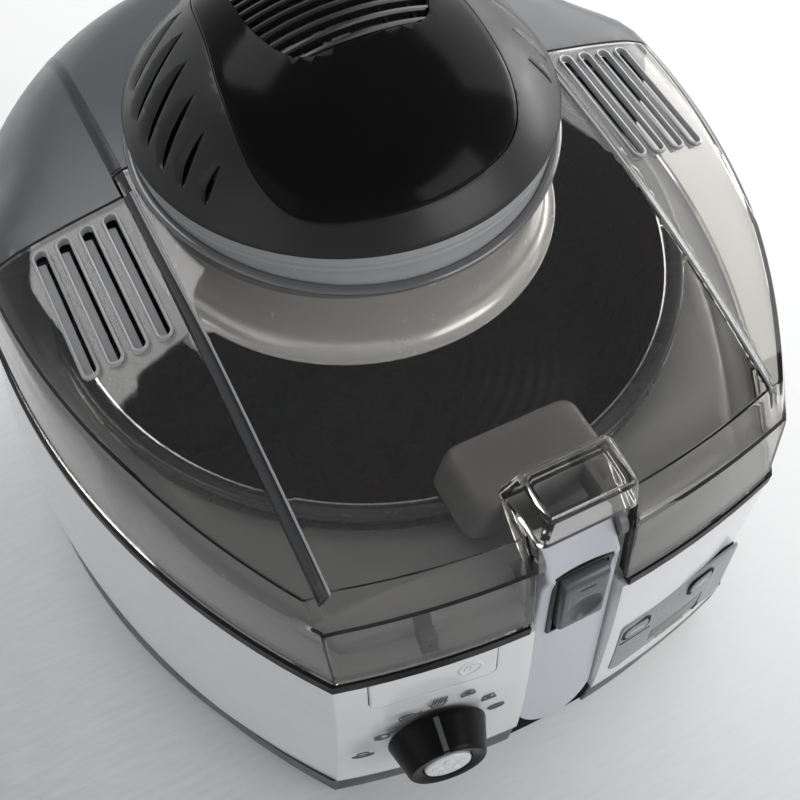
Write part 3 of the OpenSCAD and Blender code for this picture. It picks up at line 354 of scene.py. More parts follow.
def plate(name, edge, lay, thick, proud=0.0, rounding=0.4, spans=(0.9, 0.75, 0.6, 0.45, 0.3, 0.15, 0.02)):
    """A thin plate closed all round: edge(inset) is its outline, lay(u, v, out) puts a point on what carries it."""
    def ring(inset, share, out):
        points = edge(inset)
        mu = sum(u for u, v in points) / len(points)
        mv = sum(v for u, v in points) / len(points)
        return [lay(mu + (u - mu) * share, mv + (v - mv) * share, out) for u, v in points]
    rings = [ring(0, share, -thick) for share in reversed(spans)]
    rings.append(ring(0, 1, -thick))
    for t in (0, 30, 60, 90):
        rings.append(ring(rounding * (1 - cos(radians(t))), 1, proud - rounding * (1 - sin(radians(t)))))
    rings += [ring(rounding, share, proud) for share in spans]
    return loft(name, rings)


def rounded_box(w, h, r, per=6, centre=(0, 0)):
    """Outline of a rounded rectangle by its inset; r is one radius or four from the upper right, turning left."""
    radii = r if isinstance(r, tuple) else (r, r, r, r)
    def edge(inset):
        points = []
        for k, (sx, sy) in enumerate(((1, 1), (-1, 1), (-1, -1), (1, -1))):
            rr = max(radii[k] - inset, 0.05)
            cx, cy = sx * (w / 2 - inset - rr), sy * (h / 2 - inset - rr)
            for m in range(per + 1):
                t = pi / 2 * (k + m / per)
                points.append((centre[0] + cx + rr * cos(t), centre[1] + cy + rr * sin(t)))
        return points
    return edge


def join(name, pieces):
    deselect()
    for piece in pieces:
        piece.select_set(True)
    bpy.context.view_layer.objects.active = pieces[0]
    if len(pieces) > 1:
        bpy.ops.object.join()
    pieces[0].name = name
    return pieces[0]


def block(name, low, high):
    deselect()
    size = [(b - a) * MM for a, b in zip(low, high)]
    middle = [(a + b) / 2 * MM for a, b in zip(low, high)]
    bpy.ops.mesh.primitive_cube_add(size=1, location=middle)
    piece = bpy.context.object
    piece.name = name
    piece.scale = size
    bpy.ops.object.transform_apply(location=True, rotation=True, scale=True)
    return piece


def rod(name, centre, axis, radius, length, sides=48):
    """A round bar whose foot is at centre; millimetres."""
    deselect()
    bpy.ops.mesh.primitive_cone_add(vertices=sides, radius1=radius * MM, radius2=radius * MM, depth=length * MM,
        location=(0, 0, length / 2 * MM))
    piece = bpy.context.object
    piece.name = name
    bpy.ops.object.transform_apply(location=True, rotation=True, scale=True)
    turn = Vector(axis).to_track_quat("Z", "Y").to_matrix().to_4x4()
    piece.data.transform(Matrix.Translation(Vector(centre) * MM) @ turn)
    return piece


def cut(piece, tool, how="DIFFERENCE"):
    take(piece)
    edit = piece.modifiers.new("cut", "BOOLEAN")
    edit.operation = how
    edit.solver = "EXACT"
    edit.object = tool
    bpy.ops.object.modifier_apply(modifier="cut")
    bpy.data.objects.remove(tool, do_unlink=True)
    return piece


def soften(piece, width, angle=35, segments=3):
    take(piece)
    edit = piece.modifiers.new("soften", "BEVEL")
    edit.width = width * MM
    edit.segments = segments
    edit.limit_method = "ANGLE"
    edit.angle_limit = radians(angle)
    edit.use_clamp_overlap = True
    bpy.ops.object.modifier_apply(modifier="soften")
    return piece


def thicken(piece, depth):
    take(piece)
    edit = piece.modifiers.new("wall", "SOLIDIFY")
    edit.thickness = depth * MM
    edit.offset = -1
    edit.use_even_offset = False
    bpy.ops.object.modifier_apply(modifier="wall")
    return piece


finished = set()


def hand_over(piece, name, mat, body, *stands_for, angle=32, even=False):
    piece.name = name
    paint(piece, mat)
    finish_mesh(piece, angle)
    if even:
        edit = piece.modifiers.new("even", "WEIGHTED_NORMAL")
        edit.keep_sharp = True
        bpy.ops.object.modifier_apply(modifier="even")
    if stands_for:
        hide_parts(*stands_for)
        finished.update(stands_for)
    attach(piece, body)
    return piece


# ---- Outline of the appliance -------------------------------------------------------------

# Millimetres: where the clear part ends and the housing starts, beside and on the raised middle; the creases
CLEAR_END, HOUSING_START, MIDDLE_CLEAR_END, MIDDLE_HOUSING_START = 21.6, 23, 33, 34.4
CREASE = (90.2, 91.2, 94.4, 95.4)
DRUM_HOLE_R = 85.9
HINGE_Y, HINGE_Z = 183, 145
PIVOT_Y, PIVOT_Z = -167, 165
PAN_MIDDLE = (0, 2)

HALF_W, SIDE_R, FRONT_R, FRONT_Y, OVAL_Y = 162, 328, 370, -181, 27
SIDE_X = HALF_W - SIDE_R
FRONT_C = FRONT_R + FRONT_Y


REAR_STEPS, FLANK_STEPS, FACE_STEPS, BEND_STEPS = 64, 34, 40, 5


def outline(side, front, corner=2.0, end_side=None, end_front=None):
    """The plan of the body as a ring of points: the rear half circle, the flanks and the bowed front.
    The insets change evenly to end_side and end_front towards the two front corners."""
    end_side = side if end_side is None else end_side
    end_front = front if end_front is None else end_front
    rs, rf = SIDE_R - end_side, FRONT_R - end_front
    a, b = rs - corner, rf - corner
    dx, dy = -SIDE_X, FRONT_C - OVAL_Y
    dist = sqrt(dx * dx + dy * dy)
    along = (a * a - b * b + dist * dist) / (2 * dist)
    off = sqrt(max(0.0, a * a - along * along))
    ux, uy = dx / dist, dy / dist
    cx, cy = SIDE_X + along * ux + off * uy, OVAL_Y + along * uy - off * ux
    t_side = atan2(cy - OVAL_Y, cx - SIDE_X)
    t_front = atan2(cy - FRONT_C, cx)
    points = []
    for k in range(REAR_STEPS + 1):
        t = pi * k / REAR_STEPS
        points.append(((HALF_W - side) * cos(t), OVAL_Y + (HALF_W - side) * sin(t)))
    left = []
    for k in range(1, FLANK_STEPS):
        share = 1 - (1 - k / FLANK_STEPS) ** 1.7
        t = t_side * share
        r = SIDE_R - side + (side - end_side) * share ** 2
        left.append((-(SIDE_X + r * cos(t)), OVAL_Y + r * sin(t)))
    for k in range(BEND_STEPS + 1):
        t = t_side + (t_front - t_side) * k / BEND_STEPS
        left.append((-(cx + corner * cos(t)), cy + corner * sin(t)))
    right = [(-x, y) for x, y in reversed(left)]
    u0 = atan2(cx, FRONT_C - cy)
    points += left
    for k in range(1, FACE_STEPS):
        share = -cos(pi * k / FACE_STEPS) * 0.5 + (2 * k / FACE_STEPS - 1) * 0.5
        r = FRONT_R - front + (front - end_front) * share ** 2
        points.append((r * sin(u0 * share), FRONT_C - r * cos(u0 * share)))
    return points + right


def smooth_at(rows, z):
    """A smooth, never overshooting curve through rows of (height, inset)."""
    if z <= rows[0][0]:
        return rows[0][1]
    if z >= rows[-1][0]:
        return rows[-1][1]
    n = len(rows)
    slope = [(rows[k + 1][1] - rows[k][1]) / (rows[k + 1][0] - rows[k][0]) for k in range(n - 1)]
    lean = [slope[0]] + [0 if slope[k - 1] * slope[k] <= 0 else
        2 * slope[k - 1] * slope[k] / (slope[k - 1] + slope[k]) for k in range(1, n - 1)] + [slope[-1]]
    k = max(m for m in range(n - 1) if rows[m][0] <= z)
    h = rows[k + 1][0] - rows[k][0]
    t = (z - rows[k][0]) / h
    return ((2 * t ** 3 - 3 * t * t + 1) * rows[k][1] + (t ** 3 - 2 * t * t + t) * h * lean[k]
        + (3 * t * t - 2 * t ** 3) * rows[k + 1][1] + (t ** 3 - t * t) * h * lean[k + 1])


BODY_SIDE = [(28, -6.56), (40, -7.76), (55, -8), (75, -7.04), (95, -5.2), (112, -2.8), (128, 0)]
BODY_FRONT = [(28, -4.51), (40, -4.8), (55, -4.61), (75, -3.84), (95, -2.88), (112, -1.44), (128, 0)]
CORNER_SIDE = [(28, -4), (48, -2.2), (68, -0.9), (88, 0), (128, 0)]
CORNER_FRONT = [(28, -3.4), (48, -1.9), (68, -0.8), (88, 0), (128, 0)]


def body_ring(z, inset=0.0, corner=1.6):
    return [(x, y, z) for x, y in outline(smooth_at(BODY_SIDE, z) + inset, smooth_at(BODY_FRONT, z) + inset,
        corner, smooth_at(CORNER_SIDE, z) + inset, smooth_at(CORNER_FRONT, z) + inset)]


# Height of the lid over its inset from the side: upright wall, crisp edge, then the shoulder; the housing's is rounder
FLANK_WALL = [(1, 134.3), (3, 166.3), (4.6, 178), (7.5, 188)]
FLANK_TOP = [(7.5, 188), (12, 191.6), (18, 194.6), (28, 198.4), (45, 203), (95, 214)]
FLANK_REAR = [(1, 134.3), (2.2, 158), (4.5, 168), (9, 175.5), (15, 183), (22, 189.5), (32, 197), (45, 203), (95, 214)]
FRONT_WALL = [(0.5, 134.3), (5, 169)]
DROPS = [(0, 0), (CREASE[0], 0), (CREASE[1], 0.3), (CREASE[2], 3.3), (CREASE[3], 3.7), (119, 8.2), (143, 13.5),
    (152, 18.5),
    (162, 27.5), (172, 41)]


def soft_low(a, b, blend):
    return min(a, b) - max(blend - abs(a - b), 0) ** 2 / (4 * blend)


def insets(x, y):
    if y >= OVAL_Y:
        flank = HALF_W - sqrt(x * x + (y - OVAL_Y) ** 2)
    else:
        flank = SIDE_R - sqrt((abs(x) - SIDE_X) ** 2 + (y - OVAL_Y) ** 2)
    return flank, FRONT_R - sqrt(x * x + (FRONT_C - y) ** 2)


def lid_height(x, y):
    flank, front = insets(x, y)
    drop = DROPS[-1][1]
    for (x0, d0), (x1, d1) in zip(DROPS, DROPS[1:]):
        if abs(x) <= x1:
            drop = d0 + (d1 - d0) * (abs(x) - x0) / (x1 - x0)
            break
    crown = 210 - 660 + sqrt(max(1.0, (660 - drop) ** 2 - (y - 29) ** 2))
    if flank < 7.5:
        side = smooth_at(FLANK_WALL, flank)
        if side > 166.3:
            side = 166.3 + (side - 166.3) * (min(188, crown) - 166.3) / 21.7
    else:
        side = smooth_at(FLANK_TOP, flank)
    rear = min(1.0, max(0.0, (y - MIDDLE_HOUSING_START) / 42))
    rear = rear * rear * (3 - 2 * rear)
    if rear:
        side += rear * min(0.0, smooth_at(FLANK_REAR, flank) - side)
    blend = min(1.0, max(0.0, (flank - 7.5) / 6.5)) * 2.2
    top = soft_low(side, crown, blend) if blend else min(side, crown)
    if front < 5:
        return min(top, smooth_at(FRONT_WALL, front))
    if front < 14.2 and top > 169:
        return 169 + (top - 169) * (front - 5) / 9.2
    return top


def lid_skin():
    """The whole outside of the lid: the wall ring by ring, then the top, creased and lifted to its height."""
    pairs = [(1 + 2.2 * t, 0.5 + 4.5 * t) for t in (0, 0.17, 0.34, 0.5, 0.67, 0.84, 1)]
    pairs += [(3.2 + 4.3 * t, 5 + 9.2 * t) for t in (0.1, 0.22, 0.36, 0.5, 0.64, 0.78, 0.9, 1)]
    for step in (0.8, 1.8, 3, 4.4, 6, 8, 10.2, 12.6, 15, 18, 21, 24, 27.5, 31, 34.5, 38, 41.5, 45, 48.5, 52, 56, 60,
            64, 69, 74, 80, 86, 92, 98, 105, 112, 119):
        pairs.append((7.5 + step, 14.2 + step))
    rings = [[(x, y, lid_height(x, y)) for x, y in outline(side, front, 1.2)] for side, front in pairs]
    skin = loft("lid_skin", rings, capped=False)
    take(skin)
    bpy.ops.object.mode_set(mode="EDIT")
    left = [-x for x in reversed(CREASE)]
    for x in (*left[:2], -92.8, *left[2:], *CREASE[:2], 92.8, *CREASE[2:], -119, 119, -22.5, 22.5):
        bpy.ops.mesh.select_all(action="SELECT")
        bpy.ops.mesh.bisect(plane_co=(x * MM, 0, 0), plane_no=(1, 0, 0))
    for y in (CLEAR_END, HOUSING_START, MIDDLE_CLEAR_END, MIDDLE_HOUSING_START, 167, -146):
        bpy.ops.mesh.select_all(action="SELECT")
        bpy.ops.mesh.bisect(plane_co=(0, y * MM, 0), plane_no=(0, 1, 0))
    mesh = bmesh.from_edit_mesh(skin.data)
    for v in mesh.verts:
        if v.co.z > 0.1705:
            v.co.z = lid_height(v.co.x / MM, v.co.y / MM) * MM
    bmesh.update_edit_mesh(skin.data)
    bpy.ops.object.mode_set(mode="OBJECT")
    return skin


def keep_faces(piece, wanted):
    take(piece)
    bpy.ops.object.mode_set(mode="EDIT")
    bpy.ops.mesh.select_mode(type="FACE")
    bpy.ops.mesh.select_all(action="DESELECT")
    mesh = bmesh.from_edit_mesh(piece.data)
    for face in mesh.faces:
        face.select = not wanted(face.calc_center_median() / MM)
    bmesh.update_edit_mesh(piece.data)
    bpy.ops.mesh.delete(type="FACE")
    bpy.ops.mesh.select_mode(type="VERT")
    bpy.ops.object.mode_set(mode="OBJECT")


def clone(piece, name):
    deselect()
    twin = bpy.data.objects.new(name, piece.data.copy())
    bpy.context.scene.collection.objects.link(twin)
    return twin


SLOT_X = (103, 112.8, 122.6, 132.4)


def slot_ring(x, wide, grow=0.0):
    points = []
    for turn in range(24):
        t = 2 * pi * turn / 24
        end = (28.2 + grow) * (1 if sin(t) > 0 else -1)
        points.append((x + wide * cos(t), end - 14 + wide * sin(t)))
    return points


def lid_slots(piece):
    for side in (-1, 1):
        for x in SLOT_X:
            ring = slot_ring(side * x, 2.4)
            cut(piece, loft("slot", [[(a, b, 150) for a, b in ring], [(a, b, 230) for a, b in ring]]))


def slot_rims():
    """Raised rims round the vent slots, opaque light grey: a painted highlight on their clear edges."""
    rims = []
    for side in (-1, 1):
        for x in SLOT_X:
            rings = []
            for wide, lift in ((2.35, -2.4), (2.35, 0.5), (2.6, 0.85), (3.2, 0.9), (3.6, 0.55), (3.75, -0.4)):
                rings.append([(a, b, lid_height(a, b) + lift) for a, b in slot_ring(side * x, wide, 0)])
            rings.append([(a, b, lid_height(a, b) - 2.4) for a, b in slot_ring(side * x, 3.0, 0)])
            rims.append(band("rim", rings))
    hand_over(join("rims", rims), "slot_rims", edge_highlight_grey, "lid", angle=50)
    fins = []
    for side in (-1, 1):
        for x in SLOT_X:
            rings = []
            for y in range(-43, 15, 4):
                z = lid_height(side * x, y)
                rings.append([(side * x - 2.3, y, z - 2.9), (side * x + 0.9, y, z - 3.1), (side * x + 0.9, y, z - 5.4),
                    (side * x - 2.3, y, z - 5.4)])
            fins.append(loft("fin", rings))
    hand_over(join("fins", fins), "slot_fins", fin_grey, "lid", angle=50)


def neck_rim():
    """The rolled edge of the lid round the dome's collar."""
    rings = []
    for r, lift in ((85.5, -2.2), (85.5, 0.5), (85.8, 1.1), (86.6, 1.45), (87.8, 1.35), (88.7, 0.9), (89.2, 0.1),
            (89.2, -0.6),
            (87.4, -2.6)):
        points = [(r * cos(pi * k / 90), DOME_C[1] + r * sin(pi * k / 90)) for k in range(180)]
        rings.append([(x, y, lid_height(x, y) + lift) for x, y in points])
    hand_over(band("neck", rings), "neck_rim", neck_grey, "lid", angle=50)


def crease_trims():
    """The step at each side of the raised middle: a dark glossy strip, painted shade and reflection of the clear step,
    with a fine bright lip along its top, a painted highlight; the rails carry a painted shadow line along the housing.
    """
    strips, lips, rails = [], [], []
    for side in (-1, 1):
        def at(x, y, lift):
            return (side * x, y, lid_height(x, y) + lift)
        rows = [20.8, 14, 7, 0] + [-7.0 * k for k in range(1, 22)] + [-150.5, -153, -155.5]
        strips.append(loft("strip", [[at(91.1, y, -0.9), at(91.1, y, 0.35), at(91.8, y, 0.75), at(92.8, y, 0.7),
            at(94.0, y, 0.65), at(94.8, y, 0.3), at(95.1, y, -0.9), at(93.2, y, -1.4)] for y in rows]))
        lips.append(loft("lip", [[at(90.3, y, -0.8), at(90.3, y, 0.3), at(90.6, y, 0.85), at(90.95, y, 0.85),
            at(91.2, y, 0.4), at(91.2, y, -0.8)] for y in rows]))
        rails.append(loft("rail", [[at(90.4, y, -0.9), at(90.6, y, 0.2), at(91.4, y, 0.5), at(94.2, y, 0.5),
            at(95.2, y, 0.2), at(95.6, y, -0.9), at(93.2, y, -1.4)] for y in [35.2,
            40] + list(range(47, 146, 7)) + [150]]))
    hand_over(join("strips", strips), "crease_strips", crease_shade_black, "lid", angle=50)
    hand_over(join("lips", lips), "crease_lips", edge_highlight_grey, "lid", angle=60)
    hand_over(join("rails", rails), "housing_rails", rail_shadow_black, "lid", angle=50)


def hood_solid(name, grow, low_lift):
    """The bulge over the pan handle, wider at its foot."""
    back, front = -147.0, -176.0
    foot = [(-24, back), (24, back), (24, front), (-24, front)]
    top = [(-18, back - 4), (18, back - 4), (18, front + 3.5), (-18, front + 3.5)]
    def shape(points, z):
        out = []
        for x, y in points:
            nx = x - grow * (1 if x > 0 else -1)
            ny = y - grow * (1 if y > (back + front) / 2 else -1)
            out.append((nx, ny, z(nx, ny)))
        return out
    return loft(name, [shape(foot, lambda x, y: lid_height(x, y) + low_lift),
        shape(top, lambda x, y: 200.0 - grow + (y - front) * 0.03)])


def make_lid():
    skin = lid_skin()
    clear = clone(skin, "lid_front")
    keep_faces(clear, lambda c: c.y < CLEAR_END or (abs(c.x) < CREASE[2] and c.y < MIDDLE_CLEAR_END))
    thicken(clear, 2.6)
    hood = soften(hood_solid("hood", 0, -1.4), 3.0, 30, 4)
    cut(clear, hood, "UNION")
    cut(clear, hood_solid("hood_space", 2.4, -12))
    cut(clear, block("notch", (-20.4, -230, 120), (20.4, -146, 184)))
    cut(clear, rod("drum_hole", (*DOME_C[:2], 150), (0, 0, 1), DRUM_HOLE_R, 100, 128))
    lid_slots(clear)
    soften(clear, 0.45, 24, 2)
    hand_over(clear, "lid_shell_moulding", smoke, "lid", "lid_shell", angle=22, even=True)
    slot_rims()
    neck_rim()
    crease_trims()
    rear = clone(skin, "lid_rear")
    keep_faces(rear, lambda c: not (c.y < HOUSING_START or (abs(c.x) < CREASE[3] and c.y < MIDDLE_HOUSING_START)))
    thicken(rear, 2.6)
    cut(rear, rod("drum_hole", (*DOME_C[:2], 150), (0, 0, 1), DRUM_HOLE_R, 100, 128))
    for side in (-1, 1):
        low, high = sorted((side * 27.7, side * 46.7))
        cut(rear, block("ear_space", (low, 165, 130), (high, 230, 154)))
    cut(rear, block("under_barrel", (-28.7, 190, 130), (28.7, 250, 145)))
    cut(rear, block("under_front", (-28.7, 123, 130), (28.7, 176, 149.3)))
    barrel = rod("barrel", (-27.7, HINGE_Y, HINGE_Z), (1, 0, 0), 7, 55.4, 64)
    cut(barrel, block("web", (-27.7, 176, 145), (27.7, 186, 159)), "UNION")
    cut(rear, barrel, "UNION")
    cut(rear, rod("pin_bore", (-60, HINGE_Y, HINGE_Z), (1, 0, 0), 2.55, 120, 48))
    soften(rear, 0.5, 30, 2)
    hand_over(rear, "rear_housing_moulding", housing_grey, "lid", "rear_housing", angle=26, even=True)
    bpy.data.objects.remove(skin, do_unlink=True)


def recess_block(name, grow, low=15.0, high=200.0):
    return block(name, (-19.6 - grow, -260, low), (19.6 + grow, -157.5 + grow, high))


def make_base():
    heights = [28, 31, 35, 40, 47, 55, 62, 69, 76, 83, 90, 97, 104, 110, 116, 122, 128]
    body = loft("base", [body_ring(z) for z in heights])
    cut(body, recess_block("recess", 0))
    inside = loft("inside", [[(x, y, 24) for x, y, z in body_ring(28, 3, 1.0)]]
        + [body_ring(z, 3, 1.0) for z in heights[::2]] + [[(x, y, 132) for x, y, z in body_ring(128, 3, 1.0)]])
    cut(inside, recess_block("channel", 2.5))
    cut(body, inside)
    return body


def make_skirt():
    """The dark foot of the body, drawn in under its front corners."""
    rows = [(2.6, -5.4, -1.2, 2.6, 2.0), (3.4, -7.0, -2.0, 1.6, 1.2), (6, -7.6, -2.4, 1.2, 0.9),
        (14, -7.6, -3.0, -0.6, -0.6),
        (22, -7.0, -3.4, -2.4, -2.0), (26.6, -6.2, -3.6, -3.2, -2.6), (27.6, -5.2, -2.8, -2.4, -1.8)]
    outer = [[(x, y, z) for x, y in outline(side, front, 2.0, near, face)] for z, side, front, near, face in rows]
    inner = [[(x, y, z) for x, y in outline(side, front, 1.0, near, face)]
        for z, side, front, near, face in ((27.6, -3.2, -1, -0.4, 0.2), (3.2, -1.5, 1.2, 4.6, 4.0))]
    skirt = band("skirt", outer + inner)
    cut(skirt, recess_block("recess", 0.4, -5, 60))
    soften(skirt, 0.5, 40, 2)
    hand_over(skirt, "skirt_moulding", skirt_grey, "base", angle=34)


# ---- Dome, drum and grille ----------------------------------------------------------------

DOME_C = (0.0, 21.6, 163.7)
DOME_R = 105.0


def on_dome(x, y, out=0.0):
    """The point of the ball above plan point x, y, moved out along the ball's own normal."""
    dx, dy = x - DOME_C[0], y - DOME_C[1]
    dz = sqrt(DOME_R ** 2 - dx * dx - dy * dy)
    k = 1 + out / DOME_R
    return (DOME_C[0] + dx * k, DOME_C[1] + dy * k, DOME_C[2] + dz * k)


def ball_arc(r, start, end, count):
    """Profile points on a ball of radius r between two distances from its upright axis."""
    a, b = asin(start / r), asin(end / r)
    return [(r * sin(a + (b - a) * k / count), DOME_C[2] + r * cos(a + (b - a) * k / count)) for k in range(count + 1)]


PANEL_GAP = 0.45
PANEL_SHIFT = -3.0
PANEL = [(0, -77.8), (10, -77.2), (20, -75.2), (30, -71.9), (39, -67.2), (45.6, -61.2), (50, -53.4), (52.2, -44),
    (52.3, -33),
    (51.6, -22), (50.2, -10), (48.4, 0), (46, 12), (44, 24), (42, 36), (39.5, 46), (35, 55), (28, 61.5), (18, 66),
    (9, 68), (0, 68.5)]


def panel_edge(inset):
    """Outline of the gloss panel: a smooth closed curve through its half outline and the mirrored half."""
    turns = PANEL + [(-x, y) for x, y in reversed(PANEL[1:-1])]
    count, points = len(turns), []
    for k in range(count):
        p, q, r, t = (Vector(turns[(k + m) % count]) for m in (-1, 0, 1, 2))
        for m in range(4):
            u = m / 4
            at = 0.5 * (2 * q + (r - p) * u + (2 * p - 5 * q + 4 * r - t) * u ** 2 + (3 * q - p - 3 * r + t) * u ** 3)
            run = 0.5 * ((r - p) + 2 * (2 * p - 5 * q + 4 * r - t) * u + 3 * (3 * q - p - 3 * r + t) * u ** 2)
            run.normalize()
            points.append((at.x + PANEL_SHIFT - run.y * inset, at.y + DOME_C[1] + run.x * inset))
    return points


GRILLE = [(-20, -1.2), (0, -1.8), (22, -1.2), (27.5, 2), (31.5, 10), (34, 20), (34.8, 33), (33, 62),
    (-33, 62), (-34.8, 33), (-34, 20), (-31.5, 10), (-27, 2)]


def grille_half(y):
    """Half width of the grille at plan line y."""
    for (x0, y0), (x1, y1) in zip(GRILLE[2:7], GRILLE[3:8]):
        if y0 <= y <= y1:
            return x0 + (x1 - x0) * (y - y0) / (y1 - y0)
    return 22


def gill(side, k):
    """Cutter for one gill: steep and deep along its front edge, running out to nothing behind."""
    turn = radians(29)
    lead = 1.0 + 12 * k
    bound = [(-50, -64), (-18, -64), (-3, -61), (13, -57), (32, -51), (58, -43), (90, -38)]
    def plan(along, across):
        return (along * cos(turn) - across * sin(turn), along * sin(turn) + across * cos(turn))
    start = -sqrt(82.6 ** 2 - (lead + 2) ** 2)
    end = start
    while end < 60:
        x, y = plan(end, lead)
        limit = next((b0 + (b1 - b0) * (y - a0) / (a1 - a0) for (a0, b0), (a1, b1) in zip(bound, bound[1:])
            if a0 <= y <= a1), -64)
        if x > limit:
            break
        end += 0.3
    if end - start < 7:
        return None
    rings, steps = [], 14
    for m in range(steps + 1):
        t = m / steps
        along = start + (end - start) * t
        swell = min(1.0, 0.12 + sqrt(min(1.0, t * (end - start) / 9.0)),
            0.12 + sqrt(min(1.0, (1 - t) * (end - start) / 14.0)))
        deep, wide = 3.7 * swell, 9.2 * swell
        ring = []
        for across, out in ((lead, 2.2), (lead, -deep), (lead + 4.2 * swell, -deep),
                (lead + 4.3 * swell, -deep * 0.36),
                (lead + wide, 0.12), (lead + wide, 2.2)):
            x, y = plan(along, across)
            px, py, pz = on_dome(side * -x, DOME_C[1] + y, out)
            ring.append((px, py, pz))
        rings.append(ring)
    return loft("gill", rings)


def make_dome():
    shell = spun("dome_turned", ball_arc(DOME_R, 87.3, 2, 44) + ball_arc(DOME_R - 2.5, 2, 84.5, 40), DOME_C[:2], 144)
    recess = plate("recess", lambda inset: panel_edge(inset - PANEL_GAP), on_dome, 1.0, 6, 0.3,
        (0.9, 0.8, 0.7, 0.6, 0.5, 0.4, 0.3, 0.2, 0.1, 0.02))
    cut(shell, recess)
    cut(shell, loft("hole", [[(x, y, z) for x, y in GRILLE] for z in (200, 300)]))
    gills = [g for g in (gill(side, k) for side in (-1, 1) for k in range(7)) if g]
    cut(shell, join("gills", gills))
    soften(shell, 0.4, 40, 2)
    hand_over(shell, "dome_moulding", dome_black, "lid", "dome", angle=30)
    # Faces deeper than 1.45 mm under the ball, the gills' floors and the shell's inside, take seal_black: painted
    # shade in the recesses.
    shell.data.materials.append(seal_black)
    middle = Vector(DOME_C) * MM
    for face in shell.data.polygons:
        if (face.center - middle).length < (DOME_R - 1.45) * MM:
            face.material_index = 1
    # A black sheet under the shell, seen through the gills: painted shade behind the vents.
    shade_sheet = spun("shade_sheet", ball_arc(DOME_R - 3.0, 80, 2, 30) + ball_arc(DOME_R - 3.5, 2, 79.6, 30), DOME_C[:2], 96)
    wider = [(x * 1.04, 30 + (y - 30) * 1.04) for x, y in GRILLE]
    cut(shade_sheet, loft("hole", [[(x, y, z) for x, y in wider] for z in (200, 300)]))
    hand_over(shade_sheet, "dome_shade_sheet", seal_black, "lid", angle=30)
    panel = plate("panel", panel_edge, on_dome, 0.95, 0.3, 0.6,
        (0.93, 0.86, 0.79, 0.72, 0.65, 0.58, 0.5, 0.42, 0.34, 0.26, 0.18, 0.1, 0.02))
    cut(panel, loft("hole", [[(x, y, z) for x, y in GRILLE] for z in (200, 300)]))
    soften(panel, 0.35, 50, 2)
    hand_over(panel, "dome_panel_gloss", panel_gloss, "lid", "dome_panel", angle=30)
    slats = []
    for k in range(11):
        y = 1.2 + k * 5.7
        half = grille_half(y) - 0.3
        rings = []
        for m in range(13):
            x = -half + 2 * half * m / 12
            rings.append([on_dome(x, y - 1.35, -4.4), on_dome(x, y - 1.35, -1.0), on_dome(x, y - 0.7, -0.35),
                on_dome(x, y + 0.6, -0.6), on_dome(x, y + 1.35, -1.7), on_dome(x, y + 1.35, -4.4)])
        slats.append(loft("slat", rings))
    for x in (-24, -12, 0, 12, 24):
        rings = []
        for m in range(13):
            y = (-0.6 if abs(x) < 20 else 1.5) + m * 4.9
            rings.append([on_dome(x - 0.8, y, -4.6), on_dome(x - 0.8, y, -3.0), on_dome(x + 0.8, y, -3.0),
                on_dome(x + 0.8, y, -4.6)])
        slats.append(loft("rib", rings))
    grille = join("grille", slats)
    hand_over(grille, "grille_slats", grille_black, "lid", "dome_grille", angle=40)


def make_drum():
    drum = spun("drum", [(82.8, 195.8), (84.0, 195.8), (84.0, 192), (84.0, 186), (84.0, 179), (84.1, 174),
        (84.5, 170.4), (85.4, 167.4),
        (86.9, 165.0), (88.8, 163.6), (90.4, 163.2), (91.2, 163.2), (91.6, 162.9), (91.7, 162.4), (91.3, 162.0),
        (89.8, 162.0), (83, 162.0), (82.2, 162.5), (82.0, 163.4), (82.5, 164.2), (82.8, 165.5)], DOME_C[:2], 144)
    hand_over(drum, "drum_wall", drum_steel, "lid", "drum", angle=40)
    collar = spun("collar", [(83.0, 196.2), (85.2, 196.2), (85.3, 196.6), (85.3, 203), (85.3, 209.8), (85.6, 211.2),
        (86.0, 213.6),
        (86.15, 214.2), (86.0, 214.6), (86.5, 217.0), (86.65, 217.5), (86.55, 217.9), (87.1, 220.4), (87.0, 221.5),
        (84.6, 221.5),
        (84.4, 220.8), (83.5, 214), (83.0, 209)], DOME_C[:2], 144)
    hand_over(collar, "collar_frosted", frost, "lid", "lid_collar", angle=40)


# ---- Front of the base ----------------------------------------------------------------------

def on_face(x, z, out=0.0):
    radius = FRONT_R - smooth_at(BODY_FRONT, z) + out
    return (x, FRONT_C - sqrt(radius ** 2 - x * x), z)


RELEASE = (-60.0, 116.2, 51.0, 22.0)


def release_edge(grow):
    def edge(inset):
        x, z, w, h = RELEASE
        return rounded_box(w + 2 * grow, h + 8 + 2 * grow, (0.6, 0.6, 4 + grow, 4 + grow), 6, (x, z + 4))(inset)
    return edge


def stroke(points, width, lay, out=0.12, sink=0.3):
    """A painted mark: a flat strip with round bends laid on a surface."""
    rings = []
    for k, (x, z) in enumerate(points):
        (xa, za), (xb, zb) = points[max(k - 1, 0)], points[min(k + 1, len(points) - 1)]
        length = sqrt((xb - xa) ** 2 + (zb - za) ** 2)
        nx, nz = -(zb - za) / length * width / 2, (xb - xa) / length * width / 2
        rings.append([lay(x + nx, z + nz, -sink), lay(x + nx, z + nz, out), lay(x - nx, z - nz, out),
            lay(x - nx, z - nz, -sink)])
    return loft("mark", rings)


def arc(cx, cz, rx, rz, start, end, count=10):
    turns = [radians(start + (end - start) * k / count) for k in range(count + 1)]
    return [(cx + rx * cos(t), cz + rz * sin(t)) for t in turns]


